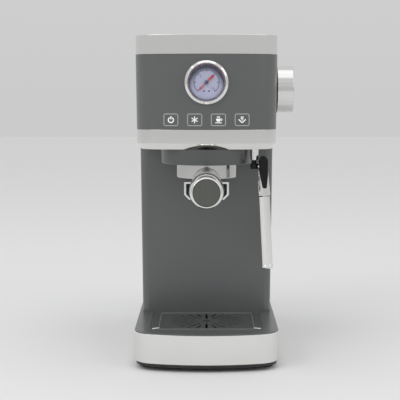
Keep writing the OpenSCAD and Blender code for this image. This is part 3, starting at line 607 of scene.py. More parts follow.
def cast_metal(name, colour, roughness=0.45):
    """Cast metal with a sandy skin."""
    s = Surface(name, Metallic=1.0)
    sand = s.noise(s.place(), 700, 4)
    s.set("Base Color", s.blend(sand, tinted(colour, 0.8), tinted(colour, 1.1)))
    s.set("Roughness", (roughness - 0.1) + 0.2 * sand)
    s.bump(sand, 0.25, 0.2 * MM)
    return s.material


def clear_glass(name, tint=(1, 1, 1), see=0.12, roughness=0.02):
    """Thin clear glass: mostly let through, with the gloss of its surface."""
    s = Surface(name, Base_Color=tint, IOR=1.45)
    smear = s.noise(s.place(), 60, 3)
    s.set("Roughness", roughness + 0.03 * smear)
    s.set("Alpha", see + 0.02 * smear)
    return s.material


def tank_plastic(name, colour):
    """Smoky see-through plastic."""
    s = Surface(name, IOR=1.49)
    cloud = s.noise(s.place(), 9, 3)
    s.set("Base Color", s.blend(cloud, tinted(colour, 0.85), tinted(colour, 1.1)))
    s.set("Roughness", 0.06 + 0.08 * cloud)
    s.set("Alpha", 0.42 + 0.06 * cloud)
    return s.material


def dial_with_painted_shadow(name, colour, centre):
    """The gauge's printed face, with a painted shadow of the bezel: dark navy towards its top edge and round
    its rim.
    """
    s = Surface(name)
    where = s.node("ShaderNodeTexCoord", out="Object")
    off = s.node("ShaderNodeVectorMath", {"operation": "SUBTRACT"}, {0: where, 1: tuple(centre)})
    radius = s.node("ShaderNodeVectorMath", {"operation": "LENGTH"}, {0: off}, out="Value")
    height = s.node("ShaderNodeSeparateXYZ", {}, {0: off}, out="Z")
    # shade: a painted shadow of the bezel, strongest towards the top and round the rim.
    shade = radius.clipped(10.5 * MM, 15 * MM) * height.clipped(-6 * MM, 9 * MM) + 0.6 * radius.clipped(
        15 * MM, 17.5 * MM)
    speck = s.noise(s.place(), 1800, 2)
    plain = s.blend(speck, tinted(colour, 0.95), tinted(colour, 1.05))
    # (0.006, 0.006, 0.05) is the dark navy of the painted bezel shadow.
    s.set("Base Color", s.blend(0.97 * shade.clipped(0, 0.8), plain, (0.006, 0.006, 0.05)))
    s.set("Roughness", 0.4 + 0.08 * speck)
    return s.material


def circuit_laminate(name):
    """Green board with a weave under its mask."""
    s = Surface(name)
    weave = s.node("ShaderNodeTexChecker", {}, {"Vector": s.place(), "Scale": 900.0}, out="Fac")
    track = s.noise(s.place((1, 1, 4)), 240, 1)
    s.set("Base Color", s.blend(track.clipped(0.48, 0.52), (0.01, 0.10, 0.045), (0.02, 0.17, 0.07)))
    s.set("Roughness", 0.3 + 0.1 * weave)
    return s.material


FINISHES = {}


def make_finishes():
    """Makes every finish once."""
    f = finish()
    steel = tuple(f.steel)
    FINISHES.update(
        coat=satin_coat("satin grey coat", f.coat),
        coat_key=satin_coat("satin grey key", tinted(f.coat, 0.95), 0.38),
        # Shroud coat: the satin grey made darker, a painted shade under the head.
        coat_low=satin_coat("satin grey shroud", tinted(f.coat, 0.68)),
        polish=polished_steel("polished steel", steel),
        polish_round=polished_steel("polished steel, turned", steel, 0.07, (1, 1, 1)),
        # The bowl's steel at 0.72 of the polish: a darker copy that paints shade over its reflections.
        cast_polish=polished_steel("polished casting", tinted(steel, 0.72), 0.12, (1, 1, 1)),
        tube=polished_steel("drawn steel tube", steel, 0.2, (1, 1, 1)),
        brushed=brushed_steel("brushed steel", tinted(steel, 0.85)),
        plate=brushed_steel("brushed cup plate", tinted(steel, 0.8), (900, 6, 900)),
        knob=turned_steel("turned knob steel", tinted(steel, 0.92), middle("steam_knob")),
        rubber=moulded("black rubber", (0.012, 0.012, 0.012), 0.62),
        black=moulded("black plastic", (0.018, 0.018, 0.019), 0.42),
        gloss=moulded("glossy black plastic", (0.003, 0.003, 0.003), 0.2, 3000, 0.3),
        drum=brushed_steel("brushed knob steel", steel, (5, 420, 420), 0.14),
        grate=satin_coat("dark grate coat", tinted(f.coat, 0.72), 0.34),
        outline=printed("key outline", tinted(f.print, 0.5)),
        # Grate rail ink: light grey standing in for the glint along the grate frame's edges, a painted
        # highlight.
        border=printed("grate border", tinted(f.print, 0.3)),
        # Key icon print with an emission of 0.3: a painted glow that brightens it.
        icon=printed("key icon", tuple(f.print), 0.5, 0.3),
        dial=dial_with_painted_shadow("gauge dial", tuple(f.dial), middle("gauge_dial")),
        dial_ink=printed("dial ink", (0.03, 0.03, 0.10)),
        needle=printed("needle red", tuple(f.needle), 0.35),
        lens=clear_glass("gauge lens", see=0.02),
        tank=tank_plastic("smoky tank", tuple(f.tank)),
        cast=cast_metal("cast aluminium", (0.50, 0.51, 0.51)),
        brass=polished_steel("turned brass", (0.62, 0.43, 0.17), 0.25, (1, 1, 1)),
        copper=polished_steel("drawn copper", (0.66, 0.33, 0.20), 0.22, (1, 1, 1)),
        hose=moulded("silicone hose", (0.62, 0.63, 0.60), 0.35, 500),
        board=circuit_laminate("circuit board"),
        disc=brushed_steel("handle disc", (0.15, 0.16, 0.145), (500, 500, 8), 0.42))


# ------------------------------------------------------------------ repeats by geometry nodes


class Repeat(Tree):
    """A geometry node tree under construction, with named inputs."""

    def __init__(self, name, inputs):
        super().__init__(bpy.data.node_groups.new(name, "GeometryNodeTree"))
        kinds = {int: "NodeSocketInt", float: "NodeSocketFloat", bpy.types.Material: "NodeSocketMaterial",
                 Vector: "NodeSocketVector"}
        self.ids, self.values = {}, inputs
        for key, value in inputs.items():
            kind = "NodeSocketMaterial" if isinstance(value, bpy.types.Material) else kinds[type(value)]
            self.ids[key] = self.tree.interface.new_socket(key, in_out="INPUT", socket_type=kind).identifier
        self.tree.interface.new_socket("Geometry", in_out="OUTPUT", socket_type="NodeSocketGeometry")
        self.source = self.tree.nodes.new("NodeGroupInput")
        self.end = self.tree.nodes.new("NodeGroupOutput")

    def given(self, key):
        """One of the tree's inputs."""
        return Wire(self, self.source.outputs[key])

    def finished(self, name, geometry, material):
        """Ends the tree, runs it on an empty mesh and gives the result as a plain object."""
        real = self.node("GeometryNodeRealizeInstances", {}, {0: geometry})
        done = self.node("GeometryNodeSetMaterial", {}, {"Geometry": real, "Material": material})
        self.tree.links.new(done.socket, self.end.inputs[0])
        obj = bpy.data.objects.new(name, bpy.data.meshes.new(name))
        bpy.context.collection.objects.link(obj)
        mod = obj.modifiers.new("repeat", "NODES")
        mod.node_group = self.tree
        for key, value in self.values.items():
            mod[self.ids[key]] = value
        return settled(obj)


def ring_of_bars(name, material, count, radius, start, span, size, place):
    """Bars set round an arc, each pointing at its centre."""
    r = Repeat(name, {"Count": int(count), "Radius": float(radius), "Start": float(start),
                      "Step": float(span),
                      "Size": Vector(size), "Material": material})
    index = r.node("GeometryNodeInputIndex")
    angle = r.given("Start") + index * r.given("Step")
    cosine = r.node("ShaderNodeMath", {"operation": "COSINE"}, {0: angle})
    sine = r.node("ShaderNodeMath", {"operation": "SINE"}, {0: angle})
    at = r.node("ShaderNodeCombineXYZ", {}, {0: cosine * r.given("Radius"), 1: sine * r.given("Radius")})
    row = r.node("GeometryNodeMeshLine", {}, {"Count": r.given("Count")})
    points = r.node("GeometryNodeSetPosition", {}, {"Geometry": row, "Position": at})
    bar = r.node("GeometryNodeMeshCube", {}, {"Size": r.given("Size")})
    turn = r.node("ShaderNodeCombineXYZ", {}, {2: angle})
    bars = r.node("GeometryNodeInstanceOnPoints", {}, {"Points": points, "Instance": bar, "Rotation": turn})
    obj = r.finished(name, bars, r.given("Material"))
    obj.data.transform(place)
    return obj


def row_of(name, material, count, offset, pattern, place):
    """Copies of a pattern object set along a line, centred on the place."""
    r = Repeat(name, {"Count": int(count), "Offset": Vector(offset), "Material": material})
    row = r.node("GeometryNodeMeshLine", {"mode": "OFFSET"},
                 {"Count": r.given("Count"), "Offset": r.given("Offset")})
    copy = r.node("GeometryNodeObjectInfo", {}, {"Object": pattern}, out="Geometry")
    copies = r.node("GeometryNodeInstanceOnPoints", {}, {"Points": row, "Instance": copy})
    obj = r.finished(name, copies, r.given("Material"))
    obj.data.transform(place @ Matrix.Translation(Vector(offset) * (-(count - 1) / 2)))
    bpy.data.objects.remove(pattern)
    return obj


# ------------------------------------------------------------------ casings


def head_wrap(half, back, closed=False):
    """Outline of the head."""
    s = shape()
    front = low("top_band").y
    if closed:
        return whole_wrap(half, front, back, s.bow, s.head_corner, 6 * MM)
    return front_wrap(half, front, back, s.bow, s.head_corner)


class MACHINE_OT_head(bpy.types.Operator):
    """Makes the head's casing, with windows for its keys"""
    bl_idname = "machine.head"
    bl_label = "Head casing"

    def execute(self, context):
        s = shape()
        lo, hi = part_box("head_shell")
        half = hi.x
        foot = high("lower_band").x / half
        section = [(0, lo.z, foot), (0, hi.z, 1), (s.wall, hi.z, 1), (s.wall, lo.z, foot)]
        casing = sweep("head_casing", head_wrap(half, hi.y), section)
        cutters = [extruded("window", [(-w, -h), (w, -h), (w, h), (-w, h)], 12 * MM,
                            place @ Matrix.Translation((0, 0, -8 * MM)))
                   for place, w, h in key_windows()]
        knob = middle("steam_knob")
        dial, rim = middle("gauge_bezel"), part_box("gauge_bezel")
        case_r = (high("gauge_case").x - low("gauge_case").x) / 2 + 0.2 * MM
        rim_r = (rim[1].x - rim[0].x) / 2 + 0.1 * MM
        for r, y in ((case_r, lo.y + 20 * MM), (rim_r, rim[1].y + 0.05 * MM)):
            cutters.append(turned("gauge_hole", [(0, 0), (r, 0), (r, 30 * MM), (0, 30 * MM)],
                                  outward((0, y, dial.z)), steps=96))
        cutters.append(turned("spindle_hole", [(0, 0), (4 * MM, 0), (4 * MM, 30 * MM), (0, 30 * MM)],
                              along_x((half - 15 * MM, knob.y, knob.z)), steps=32))
        shown(cut(casing, cutters), FINISHES["coat"], "housing", "satin_grey", "head_shell")
        return {"FINISHED"}


class MACHINE_OT_bands(bpy.types.Operator):
    """Makes the polished bands of the head"""
    bl_idname = "machine.bands"
    bl_label = "Head trim bands"

    def execute(self, context):
        s = shape()
        lo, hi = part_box("top_band")
        lip = 0.35 * MM
        section = soften([(0, lo.z), (0, hi.z), (s.trim, hi.z), (s.trim, lo.z)], [lip, 0.5 * MM, 0.3 * MM, 0])
        top = sweep("cap_band", head_wrap(hi.x, hi.y, closed=True), section, closed_path=True)
        shown(top, FINISHES["polish"], "housing", "polished_steel", "top_band")
        lo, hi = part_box("lower_band")
        bevel_in, bevel_h = 4.5 * MM, 5.5 * MM
        section = soften([(bevel_in, lo.z), (0, lo.z + bevel_h), (0, hi.z), (s.trim, hi.z),
                          (s.trim, lo.z + bevel_h), (bevel_in + s.trim, lo.z)],
                         [0.4 * MM, 0.7 * MM, lip, 0, 0.6 * MM, 0.3 * MM], steps=4)
        band = sweep("brow_band", head_wrap(hi.x, hi.y), section)
        shown(band, FINISHES["polish"], "housing", "polished_steel", "lower_band")
        return {"FINISHED"}


class MACHINE_OT_top(bpy.types.Operator):
    """Makes the top cover and the ribbed cup plate let into it"""
    bl_idname = "machine.top"
    bl_label = "Top cover and cup plate"

    def execute(self, context):
        s = shape()
        lo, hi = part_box("top_cover")
        outer = high("top_band")
        gap = outer.x - hi.x
        inset = outer.x - high("warming_plate").x
        recess = low("warming_plate").z
        section = soften([(gap, lo.z), (gap, hi.z), (inset - 0.2 * MM, hi.z), (inset - 0.2 * MM, recess),
                          (inset + 6 * MM, recess), (inset + 6 * MM, recess - s.wall),
                          (gap + s.wall, recess - s.wall),
                          (gap + s.wall, lo.z)], [0.3 * MM, 0.4 * MM, 0.8 * MM, 0.3 * MM, 0, 0, 0, 0])
        wrap = head_wrap(outer.x, outer.y, closed=True)
        shown(sweep("top_frame", wrap, section, closed_path=True), FINISHES["coat"], "housing", "satin_grey",
              "top_cover")
        lo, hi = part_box("warming_plate")
        rib_base = lo.z + 0.8 * MM
        plate = sweep("cup_plate", wrap,
                      [(inset, lo.z), (inset, rib_base - 0.3 * MM), (inset + 0.3 * MM, rib_base)],
                      closed_path=True, closed_section=False)
        count, pitch, width = 15, 7 * MM, 2.6 * MM
        length = (hi.y - lo.y) - 54 * MM
        rib = slab("rib", rounded_rect(width, length, width / 2 - 0.01 * MM), 0, hi.z - rib_base, 0.3 * MM)
        ribs = row_of("cup_plate_ribs", FINISHES["plate"], count, (pitch, 0, 0), rib,
                      upright(0, (lo.y + hi.y) / 2 + 4 * MM, rib_base))
        shown(plate, FINISHES["plate"], "housing", "brushed_steel", "warming_plate")
        shown(ribs, FINISHES["plate"], "housing", "brushed_steel")
        return {"FINISHED"}


class MACHINE_OT_column(bpy.types.Operator):
    """Makes the column behind the cup bay and the round shroud under the head"""
    bl_idname = "machine.column"
    bl_label = "Column and shroud"

    def execute(self, context):
        s = shape()
        lo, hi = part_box("column_shell")
        half = hi.x
        foot = s.foot_taper
        path = front_wrap(half, lo.y, hi.y, 1500 * MM, s.column_corner, fine=10)
        section = [(0, lo.z, foot), (0, hi.z, 1), (s.wall, hi.z, 1), (s.wall, lo.z, foot)]
        shown(sweep("column_casing", path, section), FINISHES["coat"], "housing", "satin_grey",
              "column_shell")
        lo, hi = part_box("group_shroud")
        top, wall, h = hi.x, 1.8 * MM, hi.z - lo.z
        rim, curve = top - 0.4 * MM, 3 * MM
        profile = soften([(rim - curve, 0), (rim, 0), (top, h), (top - wall, h), (rim - wall, wall),
                          (rim - curve, wall)], [0.2 * MM, curve, 0, 0, 1.2 * MM, 0.2 * MM], steps=8)
        place = upright(0, (lo.y + hi.y) / 2, lo.z)
        # The shroud takes the darker coat: painted shade under the head.
        shown(turned("shroud", profile, place, closed=True, steps=128), FINISHES["coat_low"], "housing",
              "satin_grey",
              "group_shroud")
        return {"FINISHED"}


class MACHINE_OT_base(bpy.types.Operator):
    """Makes the base's casing and its polished band"""
    bl_idname = "machine.base"
    bl_label = "Base"

    def execute(self, context):
        s = shape()
        lo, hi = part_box("base_housing")
        band_lo, band_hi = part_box("base_band")
        path = rear_wrap(hi.x, lo.y, hi.y, s.base_rear)
        skin = s.trim + 0.05 * MM
        lip, deck_z, deck_in = band_hi.z + 0.2 * MM, hi.z - s.wall, 12 * MM
        deck = sweep("base_deck_rim", path, soften(
            [(0, lip), (0, hi.z), (deck_in, hi.z), (deck_in, deck_z), (skin + s.wall, deck_z),
             (skin + s.wall, lo.z), (skin, lo.z), (skin, lip)], [0.2 * MM, 0.6 * MM, 0, 0, 0, 0, 0, 0]))
        inner = 11.9 * MM
        floor = block("deck_floor", (-hi.x + inner, lo.y, deck_z),
                      (hi.x - inner, hi.y - inner, hi.z))
        hole_x, seat = 30 * MM, middle("tank_valve")
        back = low("back_panel").y
        cutters = [block("well", (-hole_x, lo.y + 24 * MM, lo.z), (hole_x, back - 13.6 * MM, hi.z + MM)),
                   turned("seat_hole", [(0, 0), (5 * MM, 0), (5 * MM, 30 * MM), (0, 30 * MM)],
                          upright(0, seat.y, hi.z - 20 * MM), steps=48)]
        floor = cut(floor, cutters)
        shown(deck, FINISHES["coat"], "housing", "satin_grey", "base_housing")
        shown(floor, FINISHES["coat"], "housing", "satin_grey")
        section = soften([(0, band_lo.z), (0, band_hi.z), (s.trim, band_hi.z), (s.trim, band_lo.z)],
                         [0.6 * MM, 0.3 * MM, 0, 0])
        band = sweep("base_trim", path, section)
        gland = middle("cord_gland")
        hole = turned("gland_hole", [(0, 0), (5.3 * MM, 0), (5.3 * MM, 30 * MM), (0, 30 * MM)],
                      Matrix.Translation((gland.x, hi.y + 10 * MM, gland.z)) @ Matrix.Rotation(math.pi / 2,
                                                                                               4, "X"),
                      steps=48)
        shown(cut(band, [hole]), FINISHES["polish"], "housing", "polished_steel", "base_band")
        return {"FINISHED"}


class MACHINE_OT_feet(bpy.types.Operator):
    """Makes the rubber feet and the cord's gland"""
    bl_idname = "machine.feet"
    bl_label = "Feet and gland"

    def execute(self, context):
        lo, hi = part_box("feet")
        r, h = 8 * MM, hi.z
        profile = soften([(0, 0), (r - 0.8 * MM, 0), (r, 1 * MM), (r, h), (0, h)],
                         [0, 0.5 * MM, 0.5 * MM, 0, 0],
                         closed=False)
        feet = joined("rubber_feet", [
            turned("foot", profile, upright(x, y), steps=48)
            for x in (lo.x + r, hi.x - r) for y in (lo.y + r, hi.y - r)])
        shown(feet, FINISHES["rubber"], "housing", "black_rubber", "feet")
        lo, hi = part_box("cord_gland")
        g = middle("cord_gland")
        bore, collar = 3.6 * MM, 7.5 * MM
        length = hi.y - lo.y
        profile = [(bore, 0), (5 * MM, 0), (5 * MM, 8 * MM), (collar, 8 * MM), (collar, 10.5 * MM)]
        x, rings = 10.5 * MM, 3
        for i in range(rings):
            step = (length - x) / rings
            r0 = 6 * MM - i * 0.33 * MM
            profile += [(r0 - 0.9 * MM, x + i * step), (r0 - 0.9 * MM, x + (i + 0.35) * step),
                        (r0, x + (i + 0.45) * step), (r0 - 0.2 * MM, x + (i + 0.98) * step)]
        profile.append((bore, length))
        place = Matrix.Translation((g.x, lo.y, g.z)) @ Matrix.Rotation(-math.pi / 2, 4, "X")
        shown(turned("gland_boot", profile, place, closed=True, steps=48), FINISHES["rubber"], "housing",
              "black_rubber", "cord_gland")
        return {"FINISHED"}


# ------------------------------------------------------------------ drip tray


class MACHINE_OT_tray(bpy.types.Operator):
    """Makes the drip tray: its polished front band and the frame round the grate"""
    bl_idname = "machine.tray"
    bl_label = "Drip tray"

    def execute(self, context):
        s = shape()
        lo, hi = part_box("tray_band")
        path = front_wrap(hi.x, lo.y, hi.y, s.bow, s.base_corner)
        section = soften([(0, lo.z), (0, hi.z), (s.trim, hi.z), (s.trim, lo.z)], [0.6 * MM, 0.3 * MM, 0, 0])
        shown(sweep("tray_trim", path, section), FINISHES["polish"], "drip_tray", "polished_steel",
              "tray_band")
        frame_lo, frame_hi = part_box("tray_cover")
        grate_lo, grate_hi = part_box("drip_grate")
        skin, lip = s.trim + 0.05 * MM, hi.z + 0.2 * MM
        ring = soften([(skin, frame_lo.z), (skin, lip), (0, lip), (0, frame_hi.z), (0.02, frame_hi.z)],
                      [0, 0, 0.2 * MM, 0.6 * MM, 0], closed=False)[:-1]
        frame = sweep("tray_frame", merged(path, straight((hi.x, hi.y), (-hi.x, hi.y), 2)), ring,
                      closed_path=True, closed_section=False)
        centre = (grate_lo + grate_hi) / 2
        w, d = grate_hi.x - grate_lo.x, grate_hi.y - grate_lo.y
        gap, ledge = 0.2 * MM, 4 * MM
        seat = slab("seat", rounded_rect(w + 2 * gap, d + 2 * gap, 6 * MM), grate_lo.z - gap,
                    frame_hi.z + 5 * MM,
                    0.1 * MM, upright(0, centre.y))
        well = slab("well", rounded_rect(w - 2 * ledge, d - 2 * ledge, 4 * MM), frame_lo.z - 5 * MM,
                    frame_hi.z + 5 * MM, 0.1 * MM, upright(0, centre.y))
        shown(cut(frame, [seat, well]), FINISHES["coat"], "drip_tray", "satin_grey", "tray_cover")
        return {"FINISHED"}


class MACHINE_OT_grate(bpy.types.Operator):
    """Makes the drip grate, its slots spread like rays"""
    bl_idname = "machine.grate"
    bl_label = "Drip grate"

    def execute(self, context):
        s = shape()
        lo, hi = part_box("drip_grate")
        centre = (lo + hi) / 2
        w, d = hi.x - lo.x, hi.y - lo.y
        top = high("tray_cover").z
        place = upright(0, centre.y)
        plate = slab("grate_plate", rounded_rect(w, d, 6 * MM), lo.z, top, 0.35 * MM, place)
        field_w, outer = w - 16 * MM, min(w - 16 * MM, d - 8 * MM) / 2 - MM
        slots = []
        for i in range(s.slots):
            inner = 12 * MM if i % 2 == 0 else 20 * MM
            ray = rounded_rect(outer - inner, 2.2 * MM, 1.09 * MM, 5)
            turn = Matrix.Rotation(2 * math.pi * i / s.slots, 4, "Z")
            slots.append(slab("ray", ray, lo.z - 2 * MM, top + 2 * MM, 0.1 * MM,
                              place @ turn @ Matrix.Translation(((inner + outer) / 2, 0, 0))))
        slots.append(slab("eye", rounded_rect(8 * MM, 8 * MM, 3.99 * MM), lo.z - 2 * MM, top + 2 * MM,
                          0.1 * MM,
                          place))
        plate = cut(plate, [joined("rays", slots)])
        shown(plate, FINISHES["grate"], "drip_grate", "grate_steel", "drip_grate", smooth=40)
        # A raised rail round the slotted field; its light ink is a painted glint of the frame's edges.
        rail = 0.6 * MM
        section = soften([(0, top - 0.3 * MM), (0, hi.z), (rail, hi.z), (rail, top - 0.3 * MM)],
                         [0, 0.2 * MM, 0.2 * MM, 0])
        field = sweep("grate_border", rounded_rect(field_w, d - 2 * MM, 3 * MM), section, closed_path=True,
                      place=place)
        shown(field, FINISHES["border"], "drip_grate", "grate_steel")
        # Two glowing white strips near the grate's front corners: painted glints of the tray's corners, in
        # the key icons' glowing print.
        marks = []
        for side in (-1, 1):
            turn = Matrix.Rotation(math.radians(-24 * side), 4, "Z")
            spot = Matrix.Translation((side * (field_w / 2 + 2.5 * MM), centre.y - d / 2 + 5.5 * MM, 0))
            marks.append(slab("mark", rounded_rect(7.5 * MM, 1.0 * MM, 0.49 * MM), top - 0.2 * MM, hi.z,
                              0.15 * MM,
                              spot @ turn))
        shown(joined("finger_marks", marks), FINISHES["icon"], "drip_grate", "grate_steel")
        return {"FINISHED"}


# ------------------------------------------------------------------ keys


KEYS = ("key_power", "key_steam", "key_coffee", "key_water")
KEY_RIM = 0.9 * MM


def key_windows():
    """The place and half sizes of each key's window in the head."""
    s, out = shape(), []
    lo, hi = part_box("key_frames")
    height = hi.z - lo.z
    front = low("top_band").y
    for node in KEYS:
        x = middle(node).x
        angle = math.asin(max(-1, min(1, x * 1.0 / s.bow)))
        centre = Vector((s.bow * math.sin(angle), front + s.bow - s.bow * math.cos(angle), (lo.z + hi.z) / 2))
        out.append((outward(centre, angle), 7.2 * MM, height / 2))
    return out


def stroke(a, b, width, fine=5):
    """Outline of a straight stroke with round ends."""
    a, b = Vector(a), Vector(b)
    t = math.degrees(math.atan2((b - a).y, (b - a).x))
    pts = arc(b.x, b.y, width / 2, t - 90, t + 90, fine) + arc(a.x, a.y, width / 2, t + 90, t + 270, fine)
    return [tuple(p) for p, _ in pts]


def hoop(cx, cy, r, width, start, end, fine=20):
    """Outline of a stroke bent round an arc."""
    outside = arc(cx, cy, r + width / 2, start, end, fine)
    inside = arc(cx, cy, r - width / 2, end, start, fine)
    return [tuple(p) for p, _ in outside + inside]


def icon_shapes():
    """Outlines of each key's icon, in millimetres about the key's centre."""
    spokes = [(math.cos(math.radians(a)), math.sin(math.radians(a))) for a in range(30, 390, 60)]
    steam = [stroke((0.9 * c, 0.9 * s), (1.9 * c, 1.9 * s), 0.8) for c, s in spokes]
    steam += [stroke((2.65 * c, 2.65 * s), (2.8 * c, 2.8 * s), 1.0) for c, s in spokes]
    cup = [(-2.2, 1.1), (-2.0, -0.6), (-1.1, -1.7), (1.1, -1.7), (2.0, -0.6), (2.2, 1.1)]
    return {
        "key_power": [hoop(0, -0.2, 2.5, 0.95, 118, 422), stroke((0, 0.9), (0, 3.1), 0.95)],
        "key_steam": steam + [stroke((-0.02, 0), (0.02, 0), 1.1)],
        "key_coffee": [cup, hoop(2.5, 0.1, 0.95, 0.6, -80, 100, 8), stroke((-2.9, -2.8), (2.9, -2.8), 0.7),
                       stroke((-1.1, 1.9), (-1.1, 3.3), 0.55), stroke((0, 1.9), (0, 3.3), 0.55),
                       stroke((1.1, 1.9), (1.1, 3.3), 0.55)],
        "key_water": [stroke((-3.2, 0.2), (-0.35, -2.5), 0.9), stroke((0.35, -2.5), (3.2, 0.2), 0.9),
                      stroke((-0.95, 0.6), (-0.95, 3.0), 0.55), stroke((0, -0.9), (0, 3.0), 0.6),
                      stroke((0.95, 0.6), (0.95, 3.0), 0.55)],
    }


class MACHINE_OT_keys(bpy.types.Operator):
    """Makes the four keys, their light frames and their icons"""
    bl_idname = "machine.keys"
    bl_label = "Keys"

    def execute(self, context):
        icons, frames = icon_shapes(), []
        for node, (place, w, h) in zip(KEYS, key_windows()):
            width, height = 2 * w, 2 * h
            rim = rounded_rect(width, height, 1.6 * MM)
            depth = -2.4 * MM
            section = soften([(0, depth), (0, 0.15 * MM), (KEY_RIM, 0.15 * MM), (KEY_RIM, depth)],
                             [0, 0.12 * MM, 0.12 * MM, 0])
            frames.append(sweep("key_rim", rim, section, closed_path=True, place=place))
            cap_w, cap_h = width - 2 * KEY_RIM - 0.2 * MM, height - 2 * KEY_RIM - 0.2 * MM
            cap = slab(node + "_cap", rounded_rect(cap_w, cap_h, 0.9 * MM), depth - 0.6 * MM, 0.1 * MM,
                       0.25 * MM,
                       place)
            flange = slab("flange", rounded_rect(width + 1.6 * MM, height + 1.6 * MM, 0.5 * MM),
                          depth - 1.4 * MM,
                          depth - 0.4 * MM, 0.1 * MM, place)
            stem = turned("stem",
                          [(0, -9 * MM), (1.8 * MM, -9 * MM), (1.8 * MM, depth - MM), (0, depth - MM)],
                          place, steps=32)
            body = {"key_power": "power_key", "key_steam": "steam_key", "key_coffee": "coffee_key",
                    "key_water": "water_key"}[node]
            cap = joined(node + "_cap", [cap, flange, stem])
            shown(cap, FINISHES["coat_key"], body, "satin_grey", node)
            marks = [extruded("mark", [(x * MM, y * MM) for x, y in pts], 0.06 * MM,
                              place @ Matrix.Translation((0, 0, 0.08 * MM))) for pts in icons[node]]
            # The icons' print glows: a painted glow.
            shown(joined(node + "_icon", marks), FINISHES["icon"], body, "key_outline")
        shown(joined("key_rims", frames), FINISHES["outline"], "housing", "key_outline", "key_frames")
        return {"FINISHED"}


# ------------------------------------------------------------------ gauge


